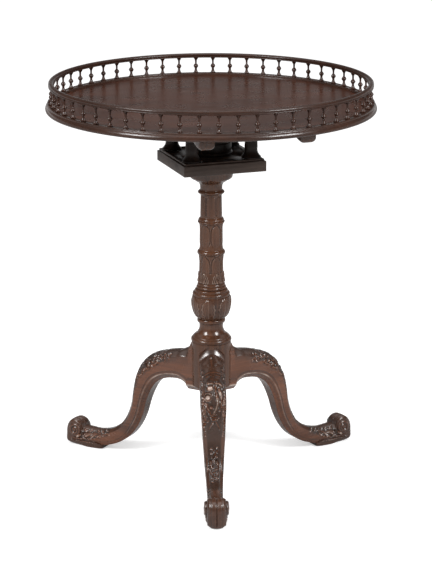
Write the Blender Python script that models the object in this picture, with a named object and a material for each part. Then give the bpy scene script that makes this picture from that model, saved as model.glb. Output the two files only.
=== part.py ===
"""Galleried tripod table whose round top tilts and turns on a birdcage.

Metres, +Z up. The floor is z = 0 and the pillar stands on the Z axis.
The tilt hinge runs along X, and the bearers under the top run along Y.
"""

import math

import bmesh
import bpy
from mathutils import Matrix, Vector

# Clearances
SEAT_GAP = 0.0003
RUN_GAP = 0.0004

# Pillar: drum, cushion, neck, urn, three shafts between rings, capital, tenon
PILLAR_SIDES = 18
PILLAR_FOOT = 0.166
DRUM_RADIUS = 0.0365
DRUM_SHOULDER = 0.003
DRUM_RING_RISE = 0.004
DRUM_RING_RADIUS = 0.0378
CUSHION_RISE = 0.019
CUSHION_RADIUS = 0.0372
CUSHION_TOP_RADIUS = 0.0252
NECK_RISE = 0.0193
NECK_TOP_RADIUS = 0.0232
NECK_HOLLOW = 0.0042
URN_FOOT_RISE = 0.0082
URN_FOOT_RADIUS = 0.0240
URN_BOWL_RISE = 0.0445
URN_RADIUS = 0.0346
URN_SWELL = 0.0060
URN_LID_RISE = 0.0132
URN_LID_RADIUS = 0.0262
RING_RISE = 0.0100
RING_SWELL = 0.0032
LOWER_SHAFT_RISE = 0.0520
LOWER_SHAFT_RADIUS = 0.0222
LOWER_RING_RADIUS = 0.0238
MIDDLE_SHAFT_RISE = 0.0485
MIDDLE_SHAFT_RADIUS = 0.0213
SHAFT_WAIST = 0.0014
UPPER_SHAFT_RISE = 0.0442
UPPER_SHAFT_RADIUS = 0.0188
CAPITAL_NECK_RISE = 0.0060
CAPITAL_FLARE_RISE = 0.0155
CAPITAL_RADIUS = 0.0378
CAPITAL_HOLLOW = 0.0060
ABACUS_RISE = 0.0235
TENON_RADIUS = 0.0170
TENON_HEAD = 0.0070

# Legs: a centre line of two curves, with a depth and a width along it
LEG_COUNT = 3
LEG_NAMES = ("right", "left", "front")
LEG_YAW = math.radians(12.4)
LEG_ROOT_DEPTH = 0.088
LEG_ROOT_DROP = 0.013
LEG_ROOT_RISE = math.radians(3.0)
LEG_ROOT_HANDLE = 0.082
SHIN_RADIUS = 0.151
SHIN_HEIGHT = 0.109
SHIN_LEAN = math.radians(13.0)
SHIN_HANDLE_ABOVE = 0.061
SHIN_HANDLE_BELOW = 0.042
ANKLE_RADIUS = 0.242
ANKLE_HEIGHT = 0.026
ANKLE_DROP = math.radians(9.0)
ANKLE_HANDLE = 0.061
LEG_STEPS = 11
CUSP_SHARE = 0.03
THROAT_SHARE = 0.06
CUSP_DEPTH = 0.081
THROAT_DEPTH = 0.0635
ARCH_DEPTH = 0.0515
KNEE_DEPTH = 0.0455
SHIN_DEPTH = 0.030
ANKLE_DEPTH = 0.027
KNEE_WIDTH = 0.046
SHIN_WIDTH = 0.039
CALF_WIDTH = 0.0315
ANKLE_WIDTH = 0.0255
LEG_CROWN = 0.004
LEG_CHAMFER = 0.009
LEG_SOLE_WIDTH = 0.018
HEEL_RADIUS = 0.227
TOE_RADIUS = 0.3065
TOE_WIDTH = 0.033
SCROLL_RADIUS = 0.0172
SCROLL_HEIGHT = 0.031
SCROLL_WIDTH = 0.043
SCROLL_SIDES = 16
DOVETAIL_NECK = 0.012
DOVETAIL_TAIL = 0.018
DOVETAIL_DEPTH = 0.017
DOVETAIL_LAP = 0.006
DOVETAIL_SHOULDER = 0.010

# Brace under the drum
BRACE_THICKNESS = 0.002
BRACE_MARGIN = 0.0010
BRACE_LEG_SCREW_INSET = 0.0045
BRACE_PILLAR_SCREW_RADIUS = 0.016

# Screws
SCREW_RADIUS = 0.0016
SCREW_HEAD_RADIUS = 0.0034
SCREW_HEAD_RISE = 0.0018
SCREW_BITE = 0.010
SCREW_SIDES = 8

# Birdcage
PLATE_SIDE = 0.1554
PLATE_SLAB = 0.0193
PLATE_FIELD = 0.0040
PLATE_STEP = 0.0030
COLUMN_INSET = 0.0215
COLUMN_SIDES = 12
COLUMN_BASE_RADIUS = 0.0182
COLUMN_RADIUS = 0.0125
COLUMN_HEAD_RADIUS = 0.0135
COLUMN_BASE_RISE = 0.0040
COLUMN_BELL_RISE = 0.0120
COLUMN_HEAD_RISE = 0.0060
COLUMN_TENON_RADIUS = 0.0080
COLUMN_TENON = 0.0080
COLLAR_RADIUS = 0.0380
COLLAR_SWELL = 0.0020
COLLAR_RISE = 0.0280
WEDGE_LENGTH = 0.066
WEDGE_WIDTH = 0.009
WEDGE_RISE = 0.011
WEDGE_TAPER = 0.002
CAGE_HEADROOM = 0.0082
BLOCK_COVER = 0.0009
PINTLE_RADIUS = 0.0070
PINTLE_LENGTH = 0.0180
PINTLE_SIDES = 16
HINGE_ROUND_STEPS = 6
TILT_CLEARANCE = 0.0022

# Top
BOARD_RADIUS = 0.2815
BOARD_THICKNESS = 0.0170
BOARD_EDGE = 0.0105
BOARD_CHAMFER = 0.034
BEARER_WIDTH = 0.025
BEARER_DEPTH = 0.0255
BEARER_HALF_LENGTH = 0.2445
BEARER_FLAT = 0.100
BEARER_DIP_SETBACK = 0.0220
BEARER_DIP_DEPTH = 0.0105
BEARER_CLEARANCE = 0.0020
BEARER_SCREW_SETBACK = 0.052
BEARER_SCREW_SEAT = 0.0085
NOSE_RADIUS = 0.0085
NOSE_DEPTH = 0.0150
NOSE_STEPS = 7
LIP_RISE = 0.0037
LEDGE_WIDTH = 0.0112
RIM_DEPTH = 0.0140
RIM_SWELL = 0.0055
RIM_SWELL_DROP = 0.0105
RIM_FILLET = 0.0012

# Gallery
SPINDLE_COUNT = 55
GALLERY_SECTIONS = 11
GALLERY_PHASE = math.radians(4.5)
SPINDLE_SIDES = 6
SPINDLE_FOOT_RADIUS = 0.0042
SPINDLE_PINCH_RADIUS = 0.0022
SPINDLE_BULB_RADIUS = 0.0048
SPINDLE_NECK_RADIUS = 0.0017
SPINDLE_HEAD_RADIUS = 0.0036
SPINDLE_FOOT_RISE = 0.0088
SPINDLE_BULB_RISE = 0.0078
SPINDLE_NECK_RISE = 0.0048
SPINDLE_HEAD_RISE = 0.0080
SPINDLE_LAP = 0.002
RAIL_WIDTH = 0.0098
RAIL_RISE = 0.0081
RAIL_ROUND = 0.0024

# Catch
CATCH_SETBACK = 0.0050
CATCH_WIDTH = 0.034
CATCH_LENGTH = 0.040
CATCH_RISE = 0.0124
BOLT_WIDTH = 0.012
BOLT_RISE = 0.005
BOLT_TRAVEL = 0.010
BOLT_TIP_GAP = 0.0015
KNOB_NECK_RADIUS = 0.0022
KNOB_RADIUS = 0.0048
KNOB_RISE = 0.0090
STRIKE_THICKNESS = 0.0015
STRIKE_WIDTH = 0.032
STRIKE_RISE = 0.010
MORTISE_DEPTH = 0.014

# Heights, stacked from the drum up
DRUM_RISE = LEG_ROOT_DEPTH - LEG_ROOT_DROP + DRUM_SHOULDER
PILLAR_CUTS = (
    (DRUM_RISE, DRUM_RADIUS, 0.0),
    (DRUM_RING_RISE, CUSHION_RADIUS, DRUM_RING_RADIUS - CUSHION_RADIUS),
    (CUSHION_RISE, CUSHION_TOP_RADIUS, (CUSHION_RADIUS - CUSHION_TOP_RADIUS) / 2),
    (NECK_RISE, NECK_TOP_RADIUS, -NECK_HOLLOW),
    (URN_FOOT_RISE, URN_FOOT_RADIUS, RING_SWELL / 2),
    (URN_BOWL_RISE, URN_RADIUS, URN_SWELL),
    (URN_LID_RISE, URN_LID_RADIUS, RING_SWELL / 2),
    (RING_RISE, LOWER_RING_RADIUS, RING_SWELL),
    (LOWER_SHAFT_RISE, LOWER_SHAFT_RADIUS, -2 * SHAFT_WAIST),
    (RING_RISE, MIDDLE_SHAFT_RADIUS, RING_SWELL),
    (MIDDLE_SHAFT_RISE, MIDDLE_SHAFT_RADIUS, -SHAFT_WAIST),
    (RING_RISE, UPPER_SHAFT_RADIUS + SHAFT_WAIST, RING_SWELL),
    (UPPER_SHAFT_RISE, UPPER_SHAFT_RADIUS, 0.0),
    (RING_RISE, UPPER_SHAFT_RADIUS + SHAFT_WAIST, RING_SWELL),
    (CAPITAL_NECK_RISE, UPPER_SHAFT_RADIUS + SHAFT_WAIST, 0.0),
    (CAPITAL_FLARE_RISE, CAPITAL_RADIUS, -CAPITAL_HOLLOW),
    (ABACUS_RISE, CAPITAL_RADIUS, 0.0),
)
SHOULDER_Z = PILLAR_FOOT + sum(cut[0] for cut in PILLAR_CUTS)
PLATE_Z = SHOULDER_Z + RUN_GAP
FIELD_Z = PLATE_Z + PLATE_SLAB + PLATE_FIELD
COLLAR_Z = FIELD_Z + RUN_GAP
WEDGE_Z = COLLAR_Z + COLLAR_RISE + SEAT_GAP
TENON_TOP_Z = WEDGE_Z + WEDGE_RISE + SEAT_GAP + TENON_HEAD
BLOCK_Z = TENON_TOP_Z + CAGE_HEADROOM
HINGE_Z = BLOCK_Z + BLOCK_COVER + PINTLE_RADIUS
HINGE_DROP = BEARER_DEPTH / 2
BOARD_Z = HINGE_Z + HINGE_DROP
SURFACE_Z = BOARD_Z + BOARD_THICKNESS
LEDGE_Z = SURFACE_Z + LIP_RISE
HALF_PLATE = PLATE_SIDE / 2
HINGE_Y = HALF_PLATE + TILT_CLEARANCE - HINGE_DROP
COLUMN_OFFSET = HALF_PLATE - COLUMN_INSET
BEARER_X = HALF_PLATE + BEARER_CLEARANCE
GALLERY_RADIUS = BOARD_RADIUS + SEAT_GAP + LEDGE_WIDTH / 2
SPINDLE_RISE = SPINDLE_FOOT_RISE + SPINDLE_BULB_RISE + SPINDLE_NECK_RISE + SPINDLE_HEAD_RISE
BOLT_Z = BOARD_Z - SEAT_GAP - CATCH_RISE / 2
STRIKE_FRONT_Y = -HALF_PLATE - SEAT_GAP - STRIKE_THICKNESS
CATCH_Y = STRIKE_FRONT_Y - CATCH_SETBACK
BOLT_TIP_Y = STRIKE_FRONT_Y - BOLT_TIP_GAP

# Axes of the catch's screws and the strike's screws, either side of the bolt
CATCH_SCREW_X = (BOLT_WIDTH / 2 + RUN_GAP + CATCH_WIDTH / 2) / 2
STRIKE_SCREW_X = (BOLT_WIDTH / 2 + RUN_GAP + STRIKE_WIDTH / 2) / 2
BEARER_SCREW_Y = BEARER_HALF_LENGTH - BEARER_SCREW_SETBACK
BRACE_LEG_SCREW_RADIUS = DRUM_RADIUS - DOVETAIL_DEPTH + BRACE_LEG_SCREW_INSET
BRACE_RADIUS = BRACE_LEG_SCREW_RADIUS + SCREW_HEAD_RADIUS + BRACE_MARGIN


def make_material(name, colour, roughness, metallic):
    """Make a plain surface of one colour."""
    made = bpy.data.materials.new(name)
    made.use_nodes = True
    shader = made.node_tree.nodes["Principled BSDF"]
    shader.inputs["Base Color"].default_value = (*colour, 1.0)
    shader.inputs["Roughness"].default_value = roughness
    shader.inputs["Metallic"].default_value = metallic
    return made


def finish_mesh(name, bm, smooth=False):
    """Turn a bmesh into a closed mesh that faces out."""
    bmesh.ops.remove_doubles(bm, verts=bm.verts, dist=1e-6)
    bmesh.ops.recalc_face_normals(bm, faces=bm.faces)
    mesh = bpy.data.meshes.new(name)
    for face in bm.faces:
        face.smooth = smooth
    bm.to_mesh(mesh)
    bm.free()
    return mesh


def add_object(name, mesh, material=None, parent=None, location=(0, 0, 0), yaw=0.0):
    """Add a mesh to the scene at a place in world coordinates."""
    obj = bpy.data.objects.new(name, mesh)
    bpy.context.scene.collection.objects.link(obj)
    if material:
        mesh.materials.clear()
        mesh.materials.append(material)
    anchor = Vector((0, 0, 0))
    if parent:
        obj.parent = parent
        anchor = world_place(parent)
    obj.location = Vector(location) - anchor
    obj.rotation_euler.z = yaw
    return obj


def world_place(empty):
    """World position of an axis empty."""
    place = Vector((0, 0, 0))
    while empty:
        place += empty.location
        empty = empty.parent
    return place


def add_axis(name, location, parent=None):
    """Add an empty that marks a joint's axis."""
    axis = bpy.data.objects.new(name, None)
    bpy.context.scene.collection.objects.link(axis)
    axis.parent = parent
    axis.location = Vector(location) - world_place(parent)
    axis.empty_display_size = 0.05
    return axis


def helper(name, mesh):
    """Add a mesh that only cuts or joins another."""
    obj = add_object(name, mesh)
    obj.hide_render = True
    obj.display_type = "WIRE"
    return obj


def combine(obj, other, operation):
    """Cut a helper out of an object, or join it on."""
    modifier = obj.modifiers.new(other.name, "BOOLEAN")
    modifier.operation = operation
    modifier.solver = "EXACT"
    modifier.object = other


def baked(obj, name):
    """Mesh of an object with its modifiers applied. The object and its helpers go."""
    graph = bpy.context.evaluated_depsgraph_get()
    mesh = bpy.data.meshes.new_from_object(obj.evaluated_get(graph))
    mesh.name = name
    helpers = [modifier.object for modifier in obj.modifiers]
    for used in [obj] + helpers:
        bpy.data.objects.remove(used, do_unlink=True)
    return mesh


def turned_profile(radius, z, cuts, steps=4):
    """Profile of a turning from the bottom up: each cut has a rise, a radius and a bulge."""
    points = [(radius, z)]
    for rise, end_radius, bulge in cuts:
        start_radius, start_z = points[-1]
        count = steps if bulge else 1
        for step in range(1, count + 1):
            share = step / count
            swell = 4 * bulge * share * (1 - share)
            mean = start_radius + (end_radius - start_radius) * share
            points.append((mean + swell, start_z + rise * share))
    return points


def spin_profile(bm, points, sides, closed=False):
    """Spin a profile of radius and height round Z, and close its ends."""
    verts = [bm.verts.new((radius, 0, z)) for radius, z in points]
    edges = [bm.edges.new(pair) for pair in zip(verts, verts[1:])]
    if closed:
        edges.append(bm.edges.new((verts[-1], verts[0])))
    axis = (0, 0, 1)
    bmesh.ops.spin(
        bm, geom=verts + edges, cent=(0, 0, 0), axis=axis, angle=2 * math.pi, steps=sides, use_merge=True
    )
    if not closed:
        rims = [edge for edge in bm.edges if edge.is_boundary]
        bmesh.ops.holes_fill(bm, edges=rims, sides=0)


def turned_mesh(name, points, sides, closed=False):
    """Mesh of a turned piece."""
    bm = bmesh.new()
    spin_profile(bm, points, sides, closed)
    return finish_mesh(name, bm, smooth=True)


def extrude_outline(bm, outline, travel):
    """Extrude a flat outline of points along a vector."""
    face = bm.faces.new([bm.verts.new(point) for point in outline])
    grown = bmesh.ops.extrude_face_region(bm, geom=[face])["geom"]
    moved = [item for item in grown if isinstance(item, bmesh.types.BMVert)]
    bmesh.ops.translate(bm, verts=moved, vec=Vector(travel))


def prism_mesh(name, outline, travel):
    """Mesh of an extruded outline."""
    bm = bmesh.new()
    extrude_outline(bm, outline, travel)
    return finish_mesh(name, bm)


def box_mesh(name, low, high):
    """Mesh of a box between two corners."""
    outline = [
        (low[0], low[1], low[2]),
        (high[0], low[1], low[2]),
        (high[0], high[1], low[2]),
        (low[0], high[1], low[2]),
    ]
    return prism_mesh(name, outline, (0, 0, high[2] - low[2]))


def outside_radius(radius, gap, sides):
    """Radius of a many-sided hole that clears a round piece by a gap."""
    return (radius + gap) / math.cos(math.pi / sides)


def rods_mesh(name, rods, radius, sides):
    """Mesh of straight rods, each from one point to another."""
    bm = bmesh.new()
    for start, end in rods:
        span = Vector(end) - Vector(start)
        turn = span.to_track_quat("Z", "Y").to_matrix().to_4x4()
        place = Matrix.Translation((Vector(start) + Vector(end)) / 2) @ turn
        bmesh.ops.create_cone(
            bm, cap_ends=True, segments=sides, radius1=radius, radius2=radius, depth=span.length, matrix=place
        )
    return finish_mesh(name, bm)


def screw_holes(name, holes):
    """Helper that drills clearance holes for screws."""
    radius = outside_radius(SCREW_RADIUS, SEAT_GAP, SCREW_SIDES)
    return helper(name, rods_mesh(name, holes, radius, SCREW_SIDES))


def screw_mesh(name, length):
    """Round-headed screw with its head down, and the head's seat at z = 0."""
    cuts = (
        (SCREW_HEAD_RISE, SCREW_HEAD_RADIUS, SCREW_HEAD_RADIUS / 4),
        (0.0, SCREW_RADIUS, 0.0),
        (length, SCREW_RADIUS, 0.0),
    )
    return turned_mesh(name, turned_profile(SCREW_RADIUS, -SCREW_HEAD_RISE, cuts, 2), SCREW_SIDES)


def bezier(points, share):
    """Point and direction on a cubic curve in a plane."""
    rest = 1 - share
    weights = (rest**3, 3 * rest**2 * share, 3 * rest * share**2, share**3)
    place = sum((point * weight for point, weight in zip(points, weights)), Vector((0, 0)))
    slopes = (rest**2, 2 * rest * share, share**2)
    steps = [after - before for before, after in zip(points, points[1:])]
    heading = sum((step * slope for step, slope in zip(steps, slopes)), Vector((0, 0)))
    return place, heading.normalized()


def along(share, stations):
    """Value between stations of share and value."""
    for (first, low), (last, high) in zip(stations, stations[1:]):
        if share <= last:
            return low + (high - low) * (share - first) / (last - first)
    return stations[-1][1]


def leg_shares():
    """Shares along a leg's two curves at which it has a section, close together at the cusp."""
    knee = [step / LEG_STEPS for step in range(1, LEG_STEPS)]
    foot = [1 + step / LEG_STEPS for step in range(LEG_STEPS + 1)]
    return [0.0, CUSP_SHARE, (CUSP_SHARE + THROAT_SHARE) / 2, THROAT_SHARE] + knee + foot


def leg_line(share):
    """Point of a leg's centre line as radius and height, and its heading, from the root to the ankle."""
    root = Vector((DRUM_RADIUS, PILLAR_FOOT - LEG_ROOT_DROP + LEG_ROOT_DEPTH / 2))
    shin = Vector((SHIN_RADIUS, SHIN_HEIGHT))
    ankle = Vector((ANKLE_RADIUS, ANKLE_HEIGHT))
    out = Vector((math.cos(LEG_ROOT_RISE), math.sin(LEG_ROOT_RISE)))
    down = Vector((math.sin(SHIN_LEAN), -math.cos(SHIN_LEAN)))
    away = Vector((math.cos(ANKLE_DROP), -math.sin(ANKLE_DROP)))
    knee = (root, root + out * LEG_ROOT_HANDLE, shin - down * SHIN_HANDLE_ABOVE, shin)
    foot = (shin, shin + down * SHIN_HANDLE_BELOW, ankle - away * ANKLE_HANDLE, ankle)
    return bezier(knee, share) if share < 1 else bezier(foot, share - 1)


def leg_section(depth, width):
    """Section of a leg: a crowned top, upright sides and a chamfered underside."""
    top = depth / 2
    half = width / 2
    sole = min(LEG_SOLE_WIDTH, 0.7 * width) / 2
    side = [
        (0.7 * half, top - 0.4 * LEG_CROWN),
        (half, top - LEG_CROWN),
        (half, LEG_CHAMFER - top),
        (sole, -top),
    ]
    return [(0.0, top)] + side + [(-across, up) for across, up in reversed(side)]


def leg_body_mesh():
    """Sweep of the leg's section along its centre line, in the plane of +X and Z."""
    depths = (
        (0.0, LEG_ROOT_DEPTH),
        (CUSP_SHARE, CUSP_DEPTH),
        (THROAT_SHARE, THROAT_DEPTH),
        (2 * THROAT_SHARE, (THROAT_DEPTH + 2 * ARCH_DEPTH) / 3),
        (0.25, ARCH_DEPTH),
        (0.5, KNEE_DEPTH),
        (1.0, SHIN_DEPTH),
        (2.0, ANKLE_DEPTH),
    )
    widths = ((0.0, KNEE_WIDTH), (0.6, KNEE_WIDTH), (1.0, SHIN_WIDTH), (1.5, CALF_WIDTH), (2.0, ANKLE_WIDTH))
    bm = bmesh.new()
    rings = []
    for share in leg_shares():
        place, heading = leg_line(share)
        rise = Vector((-heading.y, heading.x))
        if share == 0:
            rise = Vector((0, 1))
            place = Vector((0.5 * place.x, place.y))
        ring = []
        for across, up in leg_section(along(share, depths), along(share, widths)):
            point = place + rise * up
            ring.append(bm.verts.new((point.x, across, point.y)))
        rings.append(ring)
    for before, after in zip(rings, rings[1:]):
        count = len(before)
        for index in range(count):
            follow = (index + 1) % count
            bm.faces.new((before[index], before[follow], after[follow], after[index]))
    bm.faces.new(rings[0])
    bm.faces.new(rings[-1])
    return finish_mesh("leg_body", bm)


def toe_mesh():
    """Block under the scroll, from the heel to the toe."""
    scroll_radius = TOE_RADIUS - SCROLL_RADIUS
    half = TOE_WIDTH / 2
    outline = (
        (HEEL_RADIUS, 0.0),
        (TOE_RADIUS, 0.0),
        (TOE_RADIUS - 0.1 * SCROLL_RADIUS, SCROLL_HEIGHT),
        (scroll_radius, SCROLL_HEIGHT + 0.6 * SCROLL_RADIUS),
        (ANKLE_RADIUS - ANKLE_DEPTH / 3, ANKLE_HEIGHT + 0.35 * ANKLE_DEPTH),
        (HEEL_RADIUS - ANKLE_DEPTH / 3, ANKLE_HEIGHT - 0.35 * ANKLE_DEPTH),
    )
    return prism_mesh("toe", [(x, -half, z) for x, z in outline], (0, TOE_WIDTH, 0))


def dovetail_mesh(name, extra):
    """Dovetail prism on a leg's root, or its slot where extra is the gap."""
    slope = (DOVETAIL_TAIL - DOVETAIL_NECK) / 2 / DOVETAIL_DEPTH
    inner = DRUM_RADIUS - DOVETAIL_DEPTH - extra
    outer = DRUM_RADIUS + DOVETAIL_LAP
    wide = DOVETAIL_TAIL / 2 + extra
    narrow = DOVETAIL_NECK / 2 - slope * DOVETAIL_LAP + extra
    bottom = PILLAR_FOOT - (DOVETAIL_LAP if extra else 0.0)
    top = PILLAR_FOOT + LEG_ROOT_DEPTH - LEG_ROOT_DROP - DOVETAIL_SHOULDER + extra
    half = [(inner, wide, bottom), (outer, narrow, bottom)]
    outline = half + [(x, -y, z) for x, y, z in reversed(half)]
    return prism_mesh(name, outline, (0, 0, top - bottom))


def leg_mesh():
    """Leg in the plane of +X and Z, with its dovetail, toe block, scroll and screw holes."""
    body = add_object("leg_body", leg_body_mesh())
    clear = DRUM_RADIUS + SEAT_GAP / math.cos(math.pi / PILLAR_SIDES)
    low = PILLAR_FOOT - LEG_ROOT_DEPTH
    high = PILLAR_FOOT + 2 * LEG_ROOT_DEPTH
    drum = turned_mesh("drum_space", [(clear, low), (clear, high)], PILLAR_SIDES)
    scroll_radius = TOE_RADIUS - SCROLL_RADIUS
    ends = [(scroll_radius, side * SCROLL_WIDTH / 2, SCROLL_HEIGHT) for side in (-1, 1)]
    scroll = rods_mesh("scroll", [ends], SCROLL_RADIUS, SCROLL_SIDES)
    reach = PILLAR_FOOT + SCREW_BITE
    hole = ((BRACE_LEG_SCREW_RADIUS, 0, low), (BRACE_LEG_SCREW_RADIUS, 0, reach + SEAT_GAP))
    combine(body, helper("drum_space", drum), "DIFFERENCE")
    combine(body, helper("dovetail", dovetail_mesh("dovetail", 0.0)), "UNION")
    combine(body, helper("toe", toe_mesh()), "UNION")
    combine(body, helper("scroll", scroll), "UNION")
    combine(body, screw_holes("leg_hole", [hole]), "DIFFERENCE")
    return baked(body, "leg")


def leg_yaws():
    """Turn of each leg about the pillar."""
    return [LEG_YAW + index * 2 * math.pi / LEG_COUNT for index in range(LEG_COUNT)]


def build_pillar(wood):
    """Turned pillar with the legs' slots, and a tenon with the wedge's slot."""
    points = turned_profile(DRUM_RADIUS, PILLAR_FOOT, PILLAR_CUTS)
    points += [(TENON_RADIUS, SHOULDER_Z), (TENON_RADIUS, TENON_TOP_Z)]
    pillar = add_object("pillar", turned_mesh("pillar", points, PILLAR_SIDES), wood, yaw=LEG_YAW)
    for index, yaw in enumerate(leg_yaws()):
        slot = helper(f"dovetail_slot_{index + 1}", dovetail_mesh("dovetail_slot", SEAT_GAP))
        slot.rotation_euler.z = yaw
        combine(pillar, slot, "DIFFERENCE")
    end_z = PILLAR_FOOT + SCREW_BITE + SEAT_GAP
    spots = [place for name, place in brace_screw_places().items() if name.startswith("pillar")]
    holes = [((x, y, PILLAR_FOOT - SCREW_BITE), (x, y, end_z)) for x, y, _ in spots]
    combine(pillar, screw_holes("pillar_holes", holes), "DIFFERENCE")
    half = WEDGE_WIDTH / 2 + SEAT_GAP
    low = (-WEDGE_LENGTH, -half, WEDGE_Z - SEAT_GAP)
    high = (WEDGE_LENGTH, half, WEDGE_Z + WEDGE_RISE + SEAT_GAP)
    combine(pillar, helper("wedge_slot", box_mesh("wedge_slot", low, high)), "DIFFERENCE")


def build_legs(wood):
    """Three legs that share one mesh."""
    mesh = leg_mesh()
    for name, yaw in zip(LEG_NAMES, leg_yaws()):
        add_object(f"leg_{name}", mesh, wood, yaw=yaw)


def brace_screw_places():
    """Places of the brace's screws, by name: one in each dovetail, and one in the pillar beside it."""
    places = {}
    for name, yaw in zip(LEG_NAMES, leg_yaws()):
        places[f"leg_{name}"] = Matrix.Rotation(yaw, 3, "Z") @ Vector((BRACE_LEG_SCREW_RADIUS, 0, 0))
        between = Matrix.Rotation(yaw + math.pi / LEG_COUNT, 3, "Z")
        places[f"pillar_{name}"] = between @ Vector((BRACE_PILLAR_SCREW_RADIUS, 0, 0))
    return places


def build_brace(iron):
    """Round iron plate under the drum that holds the legs' dovetails up, and its screws."""
    top = PILLAR_FOOT - SEAT_GAP
    points = [(BRACE_RADIUS, -BRACE_THICKNESS), (BRACE_RADIUS, 0.0)]
    plate = turned_mesh("leg_brace", points, PILLAR_SIDES)
    brace = add_object("leg_brace", plate, iron, location=(0, 0, top))
    seat = top - BRACE_THICKNESS - SEAT_GAP
    mesh = screw_mesh("brace_screw", PILLAR_FOOT + SCREW_BITE - seat)
    holes = []
    for name, (x, y, _) in brace_screw_places().items():
        holes.append(((x, y, seat), (x, y, PILLAR_FOOT)))
        add_object(f"brace_screw_{name}", mesh, iron, location=(x, y, seat))
    combine(brace, screw_holes("brace_holes", holes), "DIFFERENCE")


def build_collar_and_wedge(wood):
    """Collar on the tenon above the lower plate, and the wedge that holds it down."""
    bore = outside_radius(TENON_RADIUS, SEAT_GAP, PILLAR_SIDES)
    points = turned_profile(COLLAR_RADIUS, COLLAR_Z, ((COLLAR_RISE, COLLAR_RADIUS, COLLAR_SWELL),))
    points += [(bore, COLLAR_Z + COLLAR_RISE), (bore, COLLAR_Z)]
    collar = turned_mesh("cage_collar", points, PILLAR_SIDES, closed=True)
    add_object("cage_collar", collar, wood, yaw=LEG_YAW)
    half = WEDGE_LENGTH / 2
    top = WEDGE_RISE
    outline = ((-half, 0, 0), (half, 0, 0), (half, 0, top), (-half, 0, top - WEDGE_TAPER))
    wedge = prism_mesh("cage_wedge", outline, (0, WEDGE_WIDTH, 0))
    add_object("cage_wedge", wedge, wood, location=(0, -WEDGE_WIDTH / 2, WEDGE_Z))


def column_places():
    """Centres of the colonnettes, by name."""
    sides = {"left": -COLUMN_OFFSET, "right": COLUMN_OFFSET}
    ends = {"front": -COLUMN_OFFSET, "back": COLUMN_OFFSET}
    return {f"{end}_{side}": (x, y) for end, y in ends.items() for side, x in sides.items()}


def column_sockets(name, low, high):
    """Helper that sinks the sockets for the colonnettes' tenons."""
    radius = outside_radius(COLUMN_TENON_RADIUS, SEAT_GAP, COLUMN_SIDES)
    rods = [((x, y, low), (x, y, high)) for x, y in column_places().values()]
    return helper(name, rods_mesh(name, rods, radius, COLUMN_SIDES))


def build_lower_plate(wood, spin_axis):
    """Square plate with a raised field, bored for the pillar's tenon."""
    corner = math.sqrt(2.0)
    field = HALF_PLATE - PLATE_STEP
    slab_z = PLATE_Z + PLATE_SLAB
    points = [(HALF_PLATE, PLATE_Z), (HALF_PLATE, slab_z), (field, slab_z), (field, FIELD_Z)]
    bm = bmesh.new()
    spin_profile(bm, [(half * corner, z) for half, z in points], 4)
    bmesh.ops.rotate(bm, verts=bm.verts, cent=(0, 0, 0), matrix=Matrix.Rotation(math.pi / 4, 3, "Z"))
    bmesh.ops.translate(bm, verts=bm.verts, vec=(0, 0, -SHOULDER_Z))
    mesh = finish_mesh("cage_lower_plate", bm)
    plate = add_object("cage_lower_plate", mesh, wood, spin_axis, (0, 0, SHOULDER_Z))
    bore = outside_radius(TENON_RADIUS, RUN_GAP, 2 * PILLAR_SIDES)
    rod = ((0, 0, SHOULDER_Z), (0, 0, FIELD_Z + PLATE_SLAB))
    combine(plate, helper("tenon_bore", rods_mesh("tenon_bore", [rod], bore, 2 * PILLAR_SIDES)), "DIFFERENCE")
    sockets = column_sockets("plate_sockets", FIELD_Z - COLUMN_TENON - SEAT_GAP, FIELD_Z + COLUMN_TENON)
    combine(plate, sockets, "DIFFERENCE")


def build_columns(wood, spin_axis):
    """Four turned colonnettes with a tenon at each end."""
    base_z = FIELD_Z + SEAT_GAP
    rise = BLOCK_Z - SEAT_GAP - base_z
    shaft_rise = rise - COLUMN_BASE_RISE - COLUMN_BELL_RISE - COLUMN_HEAD_RISE
    neck = COLUMN_RADIUS - COLUMN_HEAD_RISE / 4
    cuts = (
        (COLUMN_TENON, COLUMN_TENON_RADIUS, 0.0),
        (0.0, COLUMN_BASE_RADIUS, 0.0),
        (COLUMN_BASE_RISE, COLUMN_BASE_RADIUS, 0.0),
        (COLUMN_BELL_RISE, COLUMN_RADIUS, (COLUMN_RADIUS - COLUMN_BASE_RADIUS) / 4),
        (shaft_rise, neck, 0.0),
        (COLUMN_HEAD_RISE, COLUMN_HEAD_RADIUS, COLUMN_HEAD_RISE / 6),
        (0.0, COLUMN_TENON_RADIUS, 0.0),
        (COLUMN_TENON, COLUMN_TENON_RADIUS, 0.0),
    )
    points = turned_profile(COLUMN_TENON_RADIUS, -COLUMN_TENON, cuts, 3)
    mesh = turned_mesh("colonnette", points, COLUMN_SIDES)
    for name, (x, y) in column_places().items():
        add_object(f"colonnette_{name}", mesh, wood, spin_axis, (x, y, base_z))


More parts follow.
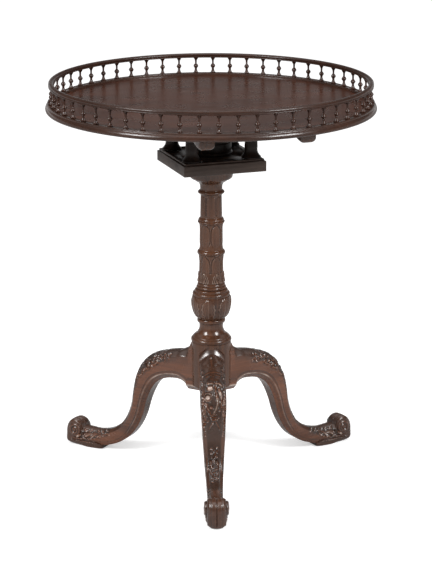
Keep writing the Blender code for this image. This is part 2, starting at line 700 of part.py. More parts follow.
def build_upper_block(wood, spin_axis):
    """Block that the top rests on, rounded over along the hinge, with its two pintles."""
    round_radius = HINGE_DROP - SEAT_GAP
    front = (-HALF_PLATE, BLOCK_Z)
    outline = [front, (HINGE_Y + round_radius, BLOCK_Z)]
    for step in range(HINGE_ROUND_STEPS + 1):
        turn = step / HINGE_ROUND_STEPS * math.pi / 2
        outline.append((HINGE_Y + round_radius * math.cos(turn), HINGE_Z + round_radius * math.sin(turn)))
    outline.append((-HALF_PLATE, HINGE_Z + round_radius))
    mesh = prism_mesh("cage_upper_block", [(-HALF_PLATE, y, z) for y, z in outline], (PLATE_SIDE, 0, 0))
    mesh.transform(Matrix.Translation((0, -HINGE_Y, -HINGE_Z)))
    block = add_object("cage_upper_block", mesh, wood, spin_axis, (0, HINGE_Y, HINGE_Z))
    reach = BEARER_X + PINTLE_LENGTH
    rod = ((-reach, HINGE_Y, HINGE_Z), (reach, HINGE_Y, HINGE_Z))
    sockets = column_sockets("block_sockets", BLOCK_Z - COLUMN_TENON, BLOCK_Z + COLUMN_TENON + SEAT_GAP)
    combine(block, helper("pintles", rods_mesh("pintles", [rod], PINTLE_RADIUS, PINTLE_SIDES)), "UNION")
    combine(block, sockets, "DIFFERENCE")
    mortise = bolt_space("mortise", -HALF_PLATE - MORTISE_DEPTH, -HALF_PLATE + MORTISE_DEPTH)
    combine(block, mortise, "DIFFERENCE")
    combine(block, screw_holes("strike_block_holes", strike_holes()), "DIFFERENCE")


def bolt_space(name, low_y, high_y):
    """Helper that cuts the bolt's way, with running clearance."""
    half = BOLT_WIDTH / 2 + RUN_GAP
    rise = BOLT_RISE / 2 + RUN_GAP
    return helper(name, box_mesh(name, (-half, low_y, BOLT_Z - rise), (half, high_y, BOLT_Z + rise)))


def strike_holes():
    """Ends of the holes for the strike's screws, from its front into the block."""
    start_y = STRIKE_FRONT_Y - SEAT_GAP
    end_y = -HALF_PLATE + SCREW_BITE + SEAT_GAP
    return [((x, start_y, BOLT_Z), (x, end_y, BOLT_Z)) for x in (-STRIKE_SCREW_X, STRIKE_SCREW_X)]


def build_strike(brass, spin_axis):
    """Brass strike on the block's front, slotted for the bolt, and its screws."""
    low = (-STRIKE_WIDTH / 2, 0, -STRIKE_RISE / 2)
    high = (STRIKE_WIDTH / 2, STRIKE_THICKNESS, STRIKE_RISE / 2)
    strike = box_mesh("catch_strike", low, high)
    strike = add_object("catch_strike", strike, brass, spin_axis, (0, STRIKE_FRONT_Y, BOLT_Z))
    combine(strike, bolt_space("strike_slot", STRIKE_FRONT_Y - MORTISE_DEPTH, -HALF_PLATE), "DIFFERENCE")
    combine(strike, screw_holes("strike_holes", strike_holes()), "DIFFERENCE")
    seat = STRIKE_FRONT_Y - SEAT_GAP
    mesh = screw_mesh("strike_screw", -HALF_PLATE + SCREW_BITE - seat)
    for name, x in (("left", -STRIKE_SCREW_X), ("right", STRIKE_SCREW_X)):
        screw = add_object(f"strike_screw_{name}", mesh, brass, spin_axis, (x, seat, BOLT_Z))
        screw.rotation_euler.x = -math.pi / 2


def build_board(wood, tilt_axis):
    """Round board, thinned underneath towards its edge."""
    inner = BOARD_RADIUS - BOARD_CHAMFER
    edge = BOARD_THICKNESS - BOARD_EDGE
    points = [(inner, 0.0), (BOARD_RADIUS, edge), (BOARD_RADIUS, BOARD_THICKNESS)]
    mesh = turned_mesh("top_board", points, SPINDLE_COUNT)
    for face in mesh.polygons:
        face.use_smooth = False
    board = add_object("top_board", mesh, wood, tilt_axis, (0, 0, BOARD_Z), GALLERY_PHASE)
    top = BOARD_Z + SCREW_BITE + SEAT_GAP
    holes = [((x, y, BOARD_Z - SCREW_BITE), (x, y, top)) for x, y in bearer_screw_places().values()]
    holes += [((x, y, BOARD_Z - SCREW_BITE), (x, y, top)) for x, y in catch_screw_places().values()]
    combine(board, screw_holes("board_holes", holes), "DIFFERENCE")


def build_rim(wood, tilt_axis):
    """Rim moulding: a ledge for the gallery and an ogee outside it."""
    inner = BOARD_RADIUS + SEAT_GAP / math.cos(math.pi / SPINDLE_COUNT)
    ledge = BOARD_RADIUS + SEAT_GAP + LEDGE_WIDTH
    swell = ledge + RIM_SWELL
    swell_z = LEDGE_Z - RIM_SWELL_DROP
    bottom = LEDGE_Z - RIM_DEPTH
    points = [
        (inner, bottom),
        (swell - RIM_SWELL / 2, bottom),
        (swell - RIM_SWELL / 12, (bottom + swell_z) / 2),
        (swell, swell_z),
        (swell - RIM_SWELL / 6, swell_z + RIM_SWELL_DROP / 3),
        (ledge + RIM_SWELL / 4, swell_z + 0.65 * RIM_SWELL_DROP),
        (ledge, LEDGE_Z - RIM_FILLET),
        (ledge, LEDGE_Z),
        (inner + RIM_FILLET, LEDGE_Z),
        (inner, LEDGE_Z - RIM_FILLET),
    ]
    mesh = turned_mesh("top_rim", [(radius, z - BOARD_Z) for radius, z in points], SPINDLE_COUNT, closed=True)
    add_object("top_rim", mesh, wood, tilt_axis, (0, 0, BOARD_Z), GALLERY_PHASE)


def rail_mesh(turn):
    """Stretch of the gallery's rail, centred on +X, with its underside at the spindles' height."""
    half = RAIL_WIDTH / 2
    top = SPINDLE_RISE + RAIL_RISE
    waist = SPINDLE_RISE + 0.45 * RAIL_RISE
    side = [
        (half - RAIL_ROUND / 2, SPINDLE_RISE),
        (half, SPINDLE_RISE + RAIL_ROUND / 2),
        (half - RAIL_ROUND / 2, waist),
        (half, top - RAIL_ROUND),
        (half - RAIL_ROUND, top),
    ]
    outline = side + [(-offset, z) for offset, z in reversed(side)]
    bm = bmesh.new()
    verts = [bm.verts.new((GALLERY_RADIUS + offset, 0, z)) for offset, z in outline]
    edges = [bm.edges.new((vert, verts[index - 1])) for index, vert in enumerate(verts)]
    bmesh.ops.rotate(bm, verts=verts, cent=(0, 0, 0), matrix=Matrix.Rotation(-turn / 2, 3, "Z"))
    steps = SPINDLE_COUNT // GALLERY_SECTIONS
    bmesh.ops.spin(bm, geom=verts + edges, cent=(0, 0, 0), axis=(0, 0, 1), angle=turn, steps=steps)
    bmesh.ops.holes_fill(bm, edges=[edge for edge in bm.edges if edge.is_boundary], sides=0)
    return finish_mesh("rail", bm, smooth=True)


def spindles_mesh():
    """Turned spindles of one stretch of the gallery."""
    cuts = (
        (0.4 * SPINDLE_FOOT_RISE, 0.8 * SPINDLE_FOOT_RADIUS, 0.0),
        (0.6 * SPINDLE_FOOT_RISE, SPINDLE_PINCH_RADIUS, 0.0),
        (0.4 * SPINDLE_BULB_RISE, SPINDLE_BULB_RADIUS, 0.0),
        (0.6 * SPINDLE_BULB_RISE, SPINDLE_PINCH_RADIUS, 0.0),
        (SPINDLE_NECK_RISE, SPINDLE_NECK_RADIUS, 0.0),
        (SPINDLE_HEAD_RISE, SPINDLE_HEAD_RADIUS, 0.0),
        (SPINDLE_LAP, SPINDLE_HEAD_RADIUS, 0.0),
    )
    points = turned_profile(SPINDLE_FOOT_RADIUS, 0.0, cuts)
    count = SPINDLE_COUNT // GALLERY_SECTIONS
    bm = bmesh.new()
    for index in range(count):
        one = bmesh.new()
        spin_profile(one, points, SPINDLE_SIDES)
        bmesh.ops.translate(one, verts=one.verts, vec=(GALLERY_RADIUS, 0, 0))
        turn = (index - (count - 1) / 2) * 2 * math.pi / SPINDLE_COUNT
        bmesh.ops.rotate(one, verts=one.verts, cent=(0, 0, 0), matrix=Matrix.Rotation(turn, 3, "Z"))
        mesh = finish_mesh("spindle", one, smooth=True)
        bm.from_mesh(mesh)
        bpy.data.meshes.remove(mesh)
    return finish_mesh("spindles", bm, smooth=True)


def build_gallery(wood, tilt_axis):
    """Gallery of spindles under a rail, in equal stretches round the rim."""
    pitch = 2 * math.pi / GALLERY_SECTIONS
    rail = add_object("rail", rail_mesh(pitch - SEAT_GAP / GALLERY_RADIUS))
    combine(rail, helper("spindles", spindles_mesh()), "UNION")
    mesh = baked(rail, "gallery")
    for index in range(GALLERY_SECTIONS):
        yaw = GALLERY_PHASE + index * pitch
        add_object(f"gallery_{index + 1:02d}", mesh, wood, tilt_axis, (0, 0, LEDGE_Z + SEAT_GAP), yaw)


def bearer_outline():
    """Side outline of a bearer as Y and depth below the board, with a bulb nose at each end."""
    dip = BEARER_HALF_LENGTH - BEARER_DIP_SETBACK
    half = [(BEARER_FLAT, BEARER_DEPTH), (dip, BEARER_DIP_DEPTH)]
    nose = BEARER_HALF_LENGTH - NOSE_RADIUS
    start = math.radians(150)
    for step in range(NOSE_STEPS + 1):
        turn = start * (1 - step / NOSE_STEPS)
        drop = NOSE_DEPTH - NOSE_RADIUS * (1 - math.sin(turn))
        half.append((nose + NOSE_RADIUS * math.cos(turn), drop))
    half.append((BEARER_HALF_LENGTH, 0.0))
    return half + [(-y, depth) for y, depth in reversed(half)]


def bearer_screw_places():
    """Places of the bearers' screws, by name."""
    middle = BEARER_X + BEARER_WIDTH / 2
    sides = {"left": -middle, "right": middle}
    ends = {"front": -BEARER_SCREW_Y, "back": BEARER_SCREW_Y}
    return {f"{side}_{end}": (x, y) for side, x in sides.items() for end, y in ends.items()}


def build_bearers(wood, iron, tilt_axis):
    """Two bearers under the board, bored for the pintles, and their screws."""
    top = BOARD_Z - SEAT_GAP
    seat = top - BEARER_SCREW_SEAT - SEAT_GAP
    bore = outside_radius(PINTLE_RADIUS, RUN_GAP, PINTLE_SIDES)
    end = BEARER_X + PINTLE_LENGTH + RUN_GAP
    places = bearer_screw_places().values()
    holes = [((x, y, seat), (x, y, BOARD_Z)) for x, y in places]
    pockets = [((x, y, seat - BEARER_DEPTH), (x, y, seat + SEAT_GAP)) for x, y in places]
    pocket_radius = outside_radius(SCREW_HEAD_RADIUS, SEAT_GAP, SCREW_SIDES)
    for name, side in (("left", -1), ("right", 1)):
        inner = side * BEARER_X
        outline = [(inner, y - HINGE_Y, top - HINGE_Z - depth) for y, depth in bearer_outline()]
        mesh = prism_mesh(f"bearer_{name}", outline, (side * BEARER_WIDTH, 0, 0))
        bearer = add_object(f"bearer_{name}", mesh, wood, tilt_axis, (0, HINGE_Y, HINGE_Z))
        rod = ((0, HINGE_Y, HINGE_Z), (side * end, HINGE_Y, HINGE_Z))
        pintle_bore = helper(f"pintle_bore_{name}", rods_mesh("pintle_bore", [rod], bore, PINTLE_SIDES))
        combine(bearer, pintle_bore, "DIFFERENCE")
        combine(bearer, screw_holes(f"bearer_holes_{name}", holes), "DIFFERENCE")
        pocket = rods_mesh("screw_pockets", pockets, pocket_radius, SCREW_SIDES)
        combine(bearer, helper(f"screw_pockets_{name}", pocket), "DIFFERENCE")
    mesh = screw_mesh("bearer_screw", BOARD_Z + SCREW_BITE - seat)
    for name, (x, y) in bearer_screw_places().items():
        add_object(f"bearer_screw_{name}", mesh, iron, tilt_axis, (x, y, seat))


def catch_screw_places():
    """Places of the catch case's screws, by name."""
    y = CATCH_Y - CATCH_LENGTH / 2
    return {"left": (-CATCH_SCREW_X, y), "right": (CATCH_SCREW_X, y)}


def build_catch(brass, tilt_axis):
    """Brass case under the board, its screws, and the bolt with its knob, drawn back."""
    top = BOARD_Z - SEAT_GAP
    bottom = top - CATCH_RISE
    back = CATCH_Y - CATCH_LENGTH
    half = CATCH_WIDTH / 2
    low = (-half, back - BOLT_TIP_Y, bottom - BOLT_Z)
    case = box_mesh("catch_case", low, (half, CATCH_Y - BOLT_TIP_Y, top - BOLT_Z))
    case = add_object("catch_case", case, brass, tilt_axis, (0, BOLT_TIP_Y, BOLT_Z))
    combine(case, bolt_space("bolt_way", back - BOLT_TRAVEL, CATCH_Y + BOLT_TRAVEL), "DIFFERENCE")
    slot = KNOB_NECK_RADIUS + RUN_GAP
    knob_y = CATCH_Y - CATCH_LENGTH / 2 - BOLT_TRAVEL / 2
    slot_low = (-slot, knob_y - slot, bottom - CATCH_RISE)
    slot_high = (slot, knob_y + BOLT_TRAVEL + slot, BOLT_Z)
    combine(case, helper("knob_slot", box_mesh("knob_slot", slot_low, slot_high)), "DIFFERENCE")
    seat = bottom - SEAT_GAP
    holes = [((x, y, seat), (x, y, BOARD_Z)) for x, y in catch_screw_places().values()]
    combine(case, screw_holes("case_holes", holes), "DIFFERENCE")
    mesh = screw_mesh("catch_screw", BOARD_Z + SCREW_BITE - seat)
    for name, (x, y) in catch_screw_places().items():
        add_object(f"catch_screw_{name}", mesh, brass, tilt_axis, (x, y, seat))
    bar_low = (-BOLT_WIDTH / 2, back - BOLT_TIP_Y, -BOLT_RISE / 2)
    bar = box_mesh("catch_bolt", bar_low, (BOLT_WIDTH / 2, 0, BOLT_RISE / 2))
    bolt = add_object("catch_bolt", bar, brass, tilt_axis, (0, BOLT_TIP_Y, BOLT_Z))
    neck = BOLT_Z - bottom + RUN_GAP
    cuts = ((KNOB_RISE, KNOB_NECK_RADIUS, KNOB_RADIUS - KNOB_NECK_RADIUS), (neck, KNOB_NECK_RADIUS, 0.0))
    knob = turned_mesh("knob", turned_profile(KNOB_NECK_RADIUS, -neck - KNOB_RISE, cuts), SCREW_SIDES)
    knob.transform(Matrix.Translation((0, knob_y, BOLT_Z)))
    combine(bolt, helper("knob", knob), "UNION")


def main():
    """Clear the scene and build the table."""
    for obj in list(bpy.data.objects):
        bpy.data.objects.remove(obj, do_unlink=True)
    wood = make_material("mahogany", (0.13, 0.045, 0.027), 0.32, 0.0)
    dark = make_material("dark_mahogany", (0.055, 0.024, 0.018), 0.38, 0.0)
    brass = make_material("brass", (0.62, 0.42, 0.16), 0.35, 1.0)
    iron = make_material("iron", (0.10, 0.09, 0.085), 0.55, 1.0)
    spin_axis = add_axis("spin_axis", (0, 0, SHOULDER_Z))
    tilt_axis = add_axis("tilt_axis", (0, HINGE_Y, HINGE_Z), spin_axis)
    build_pillar(wood)
    build_legs(wood)
    build_brace(iron)
    build_collar_and_wedge(dark)
    build_lower_plate(dark, spin_axis)
    build_columns(dark, spin_axis)
    build_upper_block(dark, spin_axis)
    build_strike(brass, spin_axis)
    build_board(wood, tilt_axis)
    build_rim(wood, tilt_axis)
    build_gallery(wood, tilt_axis)
    build_bearers(wood, iron, tilt_axis)
    build_catch(brass, tilt_axis)


main()
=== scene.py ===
"""Looks of a galleried tripod table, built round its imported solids.

Metres, +Z up, in the frame of the solids. The pillar stands on the Z axis,
the tilt hinge runs along X and the bearers run along Y.
"""

import logging
import math
from collections.abc import Sequence
from dataclasses import dataclass
from enum import Enum

import bmesh
import bpy
import numpy as np
from mathutils import Matrix, Vector


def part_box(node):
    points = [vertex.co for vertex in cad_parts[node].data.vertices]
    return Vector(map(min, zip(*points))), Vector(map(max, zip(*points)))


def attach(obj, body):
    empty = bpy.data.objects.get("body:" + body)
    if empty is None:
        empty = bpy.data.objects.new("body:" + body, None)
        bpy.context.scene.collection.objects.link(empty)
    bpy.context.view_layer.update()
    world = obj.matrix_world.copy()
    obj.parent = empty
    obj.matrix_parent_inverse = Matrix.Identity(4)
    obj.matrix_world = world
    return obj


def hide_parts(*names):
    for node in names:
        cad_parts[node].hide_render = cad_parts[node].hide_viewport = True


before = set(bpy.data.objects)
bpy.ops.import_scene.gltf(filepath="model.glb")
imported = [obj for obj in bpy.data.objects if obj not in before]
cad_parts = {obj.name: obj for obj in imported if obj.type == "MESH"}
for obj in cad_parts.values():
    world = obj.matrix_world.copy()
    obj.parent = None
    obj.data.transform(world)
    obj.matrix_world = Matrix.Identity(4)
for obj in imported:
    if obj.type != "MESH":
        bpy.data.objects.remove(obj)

LOG = logging.getLogger("tripod_table")
PLAIN_RELIEF = 0.5
MILLIMETRES = 1000
Point = tuple[float, float]
Span = tuple[Point, Point]
Colour = tuple[float, float, float]


class Body(Enum):
    """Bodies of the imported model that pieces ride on."""

    BASE = "base"
    BIRDCAGE = "birdcage"
    TOP = "top"


class Slot(Enum):
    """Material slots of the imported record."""

    MAHOGANY = "mahogany"
    DARK_MAHOGANY = "dark_mahogany"


class Grain(Enum):
    """Axis that a piece's grain runs along, as the order of its coordinates."""

    ALONG_X = (0, 1, 2)
    ALONG_Y = (1, 0, 2)
    ALONG_Z = (2, 0, 1)


def linear(red: int, green: int, blue: int) -> Colour:
    """Turn a screen colour into the light values that shaders use.

    Args:
        red: Red, 0 to 255.
        green: Green, 0 to 255.
        blue: Blue, 0 to 255.

    Returns:
        The colour as linear light.
    """
    shares = [value / 255 for value in (red, green, blue)]
    return tuple(share / 12.92 if share < 0.04045 else ((share + 0.055) / 1.055) ** 2.4 for share in shares)


class Desk:
    """Adds and links the nodes of one shader tree."""

    def __init__(self, tree: bpy.types.NodeTree) -> None:
        """Keep the tree."""
        self.tree = tree

    def add(self, kind: str, **values: object) -> bpy.types.Node:
        """Add a node and set its inputs by name, with a space for each underscore.

        Args:
            kind: Type of the node.
            values: Sockets to link, or values to set, by input name.

        Returns:
            The new node.
        """
        node = self.tree.nodes.new(kind)
        for name, value in values.items():
            self.feed(node.inputs[name.replace("_", " ")], value)
        return node

    def group(self, tree: bpy.types.NodeTree, **values: object) -> bpy.types.Node:
        """Place a shader group and set its inputs by name.

        Args:
            tree: Group to place.
            values: Sockets to link, or values to set, by input name.

        Returns:
            The group's node.
        """
        node = self.tree.nodes.new("ShaderNodeGroup")
        node.node_tree = tree
        for name, value in values.items():
            self.feed(node.inputs[name], value)
        return node

    def attribute(self, name: str) -> bpy.types.Node:
        """Add a node that reads an attribute of the mesh.

        Args:
            name: Name of the attribute.

        Returns:
            The new node.
        """
        node = self.tree.nodes.new("ShaderNodeAttribute")
        node.attribute_name = name
        return node

    def feed(self, target: bpy.types.NodeSocket, value: object) -> None:
        """Link a socket to an input, or set the input's own value.

        Args:
            target: Input that takes the value.
            value: Output socket, colour, vector or number.
        """
        if isinstance(value, bpy.types.NodeSocket):
            self.tree.links.new(value, target)
        elif target.type == "RGBA":
            target.default_value = (*value, 1.0)
        else:
            target.default_value = value

    def mix(self, share: object, low: object, high: object) -> bpy.types.NodeSocket:
        """Mix two colours.

        Args:
            share: Share of the second colour, as a socket or a number.
            low: First colour.
            high: Second colour.

        Returns:
            The mixed colour.
        """
        node = self.tree.nodes.new("ShaderNodeMix")
        node.data_type = "RGBA"
        self.feed(node.inputs[0], share)
        self.feed(node.inputs[6], low)
        self.feed(node.inputs[7], high)
        return node.outputs[2]

    def math(
        self, operation: str, first: object, second: object = 0.5, held: bool = True, third: object = 0.0
    ) -> bpy.types.NodeSocket:
        """Work out one sum on values.

        Args:
            operation: Name of the sum.
            first: First value.
            second: Second value.
            held: Whether the result is held between 0 and 1.
            third: Third value, where the sum has one.

        Returns:
            The result.
        """
        node = self.tree.nodes.new("ShaderNodeMath")
        node.operation = operation
        node.use_clamp = held
        self.feed(node.inputs[0], first)
        self.feed(node.inputs[1], second)
        self.feed(node.inputs[2], third)
        return node.outputs[0]

    def noise(
        self, place: object, scale: float, detail: float, roughness: float = 0.5
    ) -> bpy.types.NodeSocket:
        """Add a noise texture.

        Args:
            place: Coordinates.
            scale: Features per metre.
            detail: Octaves.
            roughness: Share of the finer octaves.

        Returns:
            The noise as a value.
        """
        node = self.add("ShaderNodeTexNoise", Vector=place, Scale=scale, Detail=detail, Roughness=roughness)
        return node.outputs[0]

    def spread(self, value: object, low: float, high: float) -> bpy.types.NodeSocket:
        """Stretch the range between two values to 0 and 1.

        Args:
            value: Value to stretch.
            low: Value that becomes 0.
            high: Value that becomes 1.

        Returns:
            The stretched value, without values outside 0 and 1.
        """
        node = self.add("ShaderNodeMapRange", Value=value)
        node.inputs["From Min"].default_value = low
        node.inputs["From Max"].default_value = high
        return node.outputs[0]

    def stretched(self, place: object, scale: Sequence[float]) -> bpy.types.NodeSocket:
        """Stretch coordinates.

        Args:
            place: Coordinates.
            scale: Factor for each axis.

        Returns:
            The stretched coordinates.
        """
        node = self.add("ShaderNodeMapping", Vector=place)
        node.inputs["Scale"].default_value = scale
        return node.outputs[0]


class ShaderGroups:
    """Shader groups that the finishes share, each built once."""

    SOCKETS = {"value": "NodeSocketFloat", "colour": "NodeSocketColor", "vector": "NodeSocketVector"}

    def __init__(self) -> None:
        """Build every group."""
        self.wood_figure = self.build_wood_figure()
        self.carving_tone = self.build_carving_tone()
        self.handling = self.build_handling()
        self.tarnish = self.build_tarnish()

    def start(
        self, name: str, inputs: dict[str, str], outputs: dict[str, str]
    ) -> tuple[Desk, bpy.types.Node, bpy.types.Node]:
        """Start a group with named sockets.

        Args:
            name: Name of the group.
            inputs: Kind of each input by name.
            outputs: Kind of each output by name.

        Returns:
            The desk of the group, and its input and output nodes.
        """
        tree = bpy.data.node_groups.new(name, "ShaderNodeTree")
        for way, sockets in (("INPUT", inputs), ("OUTPUT", outputs)):
            for label, kind in sockets.items():
                tree.interface.new_socket(name=label, in_out=way, socket_type=self.SOCKETS[kind])
        return Desk(tree), tree.nodes.new("NodeGroupInput"), tree.nodes.new("NodeGroupOutput")

    def build_wood_figure(self) -> bpy.types.NodeTree:
        """Build the grain of mahogany: broad figure, fine streaks and open pores.

        Returns:
            The group.
        """
        inputs = {"Grain": "vector", "Dark": "colour", "Light": "colour", "Figure": "value"}
        desk, given, result = self.start("wood_figure", inputs, {"Colour": "colour", "Height": "value"})
        place = given.outputs["Grain"]
        broad = desk.noise(desk.stretched(place, (4.0, 17.0, 17.0)), 1.0, 3.0)
        streaks = desk.noise(desk.stretched(place, (9.0, 260.0, 260.0)), 1.0, 4.0, 0.6)
        pores = desk.noise(desk.stretched(place, (110.0, 1500.0, 1500.0)), 1.0, 2.0)
        share = desk.mix(given.outputs["Figure"], streaks, broad)
        colour = desk.mix(desk.spread(share, 0.32, 0.68), given.outputs["Dark"], given.outputs["Light"])
        pored = desk.spread(pores, 0.60, 0.72)
        shaded = desk.mix(desk.math("MULTIPLY", pored, 0.45), colour, given.outputs["Dark"])
        desk.feed(result.inputs["Colour"], shaded)
        desk.feed(result.inputs["Height"], desk.math("SUBTRACT", streaks, pored))
        return desk.tree

    def build_carving_tone(self) -> bpy.types.NodeTree:
        """Build the tone of carving: painted shade with dark old polish in the hollows, painted highlight
        with wear on the crests.

        Returns:
            The group.
        """
        inputs = {
            "Colour": "colour",
            "Relief": "value",
            "Place": "vector",
            "Hollow": "colour",
            "Crest": "colour",
        }
        desk, given, result = self.start("carving_tone", inputs, {"Colour": "colour", "Crest": "value"})
        patch = desk.spread(desk.noise(given.outputs["Place"], 55.0, 3.0), 0.25, 0.6)
        # Darker towards the hollow colour in hollows, which is painted shade with old polish; lighter towards
        # the crest colour on crests, which is painted highlight with wear.
        hollow = desk.spread(given.outputs["Relief"], 0.46, 0.12)
        crest = desk.math("MULTIPLY", desk.spread(given.outputs["Relief"], 0.58, 0.95), patch)
        hollow_shade_and_polish = desk.math("MULTIPLY", hollow, 0.85)
        crest_highlight_and_wear = desk.math("MULTIPLY", crest, 0.88)
        darkened = desk.mix(hollow_shade_and_polish, given.outputs["Colour"], given.outputs["Hollow"])
        desk.feed(result.inputs["Colour"], desk.mix(crest_highlight_and_wear, darkened, given.outputs["Crest"]))
        desk.feed(result.inputs["Crest"], crest)
        return desk.tree

    def build_handling(self) -> bpy.types.NodeTree:
        """Build the uneven polish that years of handling leave.

        Returns:
            The group.
        """
        inputs = {"Place": "vector", "Low": "value", "High": "value"}
        desk, given, result = self.start("handling", inputs, {"Roughness": "value", "Polish": "value"})
        patch = desk.noise(given.outputs["Place"], 22.0, 4.0, 0.6)
        node = desk.add("ShaderNodeMapRange", Value=patch)
        node.inputs["From Min"].default_value = 0.3
        node.inputs["From Max"].default_value = 0.7
        desk.feed(node.inputs["To Min"], given.outputs["Low"])
        desk.feed(node.inputs["To Max"], given.outputs["High"])
        desk.feed(result.inputs["Roughness"], node.outputs[0])
        desk.feed(result.inputs["Polish"], desk.spread(patch, 0.75, 0.25))
        return desk.tree

    def build_tarnish(self) -> bpy.types.NodeTree:
        """Build the tarnish of old metal, in soft patches and fine specks.

        Returns:
            The group.
        """
        inputs = {"Place": "vector", "Bright": "colour", "Dull": "colour"}
        desk, given, result = self.start("tarnish", inputs, {"Colour": "colour", "Height": "value"})
        patch = desk.noise(given.outputs["Place"], 160.0, 5.0, 0.65)
        specks = desk.noise(given.outputs["Place"], 1400.0, 2.0)
        dull = desk.spread(desk.math("MULTIPLY", patch, desk.spread(specks, 0.2, 0.7)), 0.15, 0.6)
        desk.feed(result.inputs["Colour"], desk.mix(dull, given.outputs["Bright"], given.outputs["Dull"]))
        desk.feed(result.inputs["Height"], specks)
        return desk.tree


@dataclass(frozen=True)
class WoodFinish:
    """A polished wood, with its screen colours and the strength of its figure."""

    name: str
    dark: Colour
    light: Colour
    # The hollow colour paints shade, with old polish, into hollows; the crest colour paints highlight, with
    # wear, onto crests.
    hollow: Colour
    crest: Colour
    figure: float = 0.55
    low_roughness: float = 0.20
    high_roughness: float = 0.34
    shine: float = 0.36
    coat: float = 0.34
    coat_roughness: float = 0.09
    grain_bump: float = 0.06
    pore_depth: float = 0.0005
    crest_polish: float = 0.5

    def material(self, groups: ShaderGroups) -> bpy.types.Material:
        """Make the material.

        Args:
            groups: Shader groups of the scene.

        Returns:
            The material.
        """
        material = bpy.data.materials.new(self.name)
        material.use_nodes = True
        desk = Desk(material.node_tree)
        shader = material.node_tree.nodes["Principled BSDF"]
        place = desk.attribute("grain").outputs["Vector"]
        wood = desk.group(
            groups.wood_figure,
            Grain=place,
            Dark=linear(*self.dark),
            Light=linear(*self.light),
            Figure=self.figure,
        )
        tone = desk.group(
            groups.carving_tone,
            Colour=wood.outputs["Colour"],
            Relief=desk.attribute("relief").outputs["Fac"],
            Place=place,
            Hollow=linear(*self.hollow),
            Crest=linear(*self.crest),
        )
        handling = desk.group(
            groups.handling, Place=place, Low=self.low_roughness, High=self.high_roughness
        )
        pores = wood.outputs["Height"]
        bump = desk.add(
            "ShaderNodeBump", Strength=self.grain_bump, Distance=self.pore_depth, Height=pores
        )
        rubbed = desk.math("MULTIPLY", tone.outputs["Crest"], self.crest_polish)
        polish = desk.math("MULTIPLY_ADD", handling.outputs["Polish"], self.coat, third=rubbed)
        desk.feed(shader.inputs["Base Color"], tone.outputs["Colour"])
        desk.feed(shader.inputs["Roughness"], handling.outputs["Roughness"])
        desk.feed(shader.inputs["Coat Weight"], polish)
        desk.feed(shader.inputs["Coat Roughness"], self.coat_roughness)
        desk.feed(shader.inputs["Specular IOR Level"], self.shine)
        desk.feed(shader.inputs["Normal"], bump.outputs["Normal"])
        return material


@dataclass(frozen=True)
class MetalFinish:
    """An old metal, bright in some patches and dull in others, by its screen colours."""

    name: str
    bright: Colour
    dull: Colour
    low_roughness: float
    high_roughness: float
    speck_bump: float = 0.15
    speck_depth: float = 0.0002

    def material(self, groups: ShaderGroups) -> bpy.types.Material:
        """Make the material.

        Args:
            groups: Shader groups of the scene.

        Returns:
            The material.
        """
        material = bpy.data.materials.new(self.name)
        material.use_nodes = True
        desk = Desk(material.node_tree)
        shader = material.node_tree.nodes["Principled BSDF"]
        place = desk.tree.nodes.new("ShaderNodeTexCoord").outputs["Object"]
        tarnish = desk.group(
            groups.tarnish, Place=place, Bright=linear(*self.bright), Dull=linear(*self.dull)
        )
        handling = desk.group(
            groups.handling, Place=place, Low=self.low_roughness, High=self.high_roughness
        )
        specks = tarnish.outputs["Height"]
        bump = desk.add(
            "ShaderNodeBump", Strength=self.speck_bump, Distance=self.speck_depth, Height=specks
        )
        desk.feed(shader.inputs["Base Color"], tarnish.outputs["Colour"])
        desk.feed(shader.inputs["Metallic"], 1.0)
        desk.feed(shader.inputs["Roughness"], handling.outputs["Roughness"])
        desk.feed(shader.inputs["Normal"], bump.outputs["Normal"])
        return material


class Finishes:
    """Materials of the table."""

    def __init__(self) -> None:
        """Make every material."""
        groups = ShaderGroups()
        # Crest colours, palest on the legs, are painted highlight with wear; hollow colours are painted shade
        # with old polish.
        self.carved = WoodFinish(
            "carved_mahogany", (49, 29, 19), (90, 57, 38), (18, 13, 10), (128, 108, 96)
        ).material(groups)
        self.legs = WoodFinish(
            "leg_mahogany",
            (64, 37, 24),
            (115, 70, 46),
            (34, 29, 26),
            (196, 180, 168),
            shine=0.44,
            coat=0.5,
        ).material(groups)
        self.top = WoodFinish(
            "top_mahogany",
            (46, 25, 17),
            (78, 45, 32),
            (16, 10, 9),
            (104, 72, 58),
            low_roughness=0.25,
            high_roughness=0.33,
            shine=0.20,
            coat=0.2,
            grain_bump=0.008,
        ).material(groups)
        self.rim = WoodFinish(
            "rim_mahogany",
            (38, 23, 17),
            (64, 41, 31),
            (14, 9, 8),
            (112, 84, 70),
            shine=0.28,
            coat=0.26,
            grain_bump=0.02,
        ).material(groups)
        # A darker copy of the mahogany: painted shade on the gallery's rail and spindles.
        self.gallery = WoodFinish(
            "gallery_mahogany_painted_darker",
            (34, 20, 14),
            (60, 36, 26),
            (14, 9, 8),
            (112, 84, 70),
            shine=0.24,
            coat=0.2,
            grain_bump=0.02,
        ).material(groups)
        self.cage = WoodFinish(
            "dark_mahogany",
            (24, 18, 15),
            (42, 32, 27),
            (9, 7, 6),
            (62, 50, 44),
            low_roughness=0.32,
            high_roughness=0.45,
            shine=0.16,
            coat=0.08,
        ).material(groups)
        # A lighter copy of the cage's dark mahogany: painted light on the plate, which the top shades.
        self.plate = WoodFinish(
            "cage_mahogany_painted_lighter",
            (60, 49, 44),
            (90, 77, 70),
            (12, 9, 8),
            (86, 72, 64),
            low_roughness=0.32,
            high_roughness=0.45,
            shine=0.16,
            coat=0.08,
        ).material(groups)
        self.brass = MetalFinish("old_brass", (178, 138, 74), (96, 72, 42), 0.25, 0.45).material(groups)
        self.iron = MetalFinish("old_iron", (84, 80, 76), (40, 36, 34), 0.4, 0.6).material(groups)


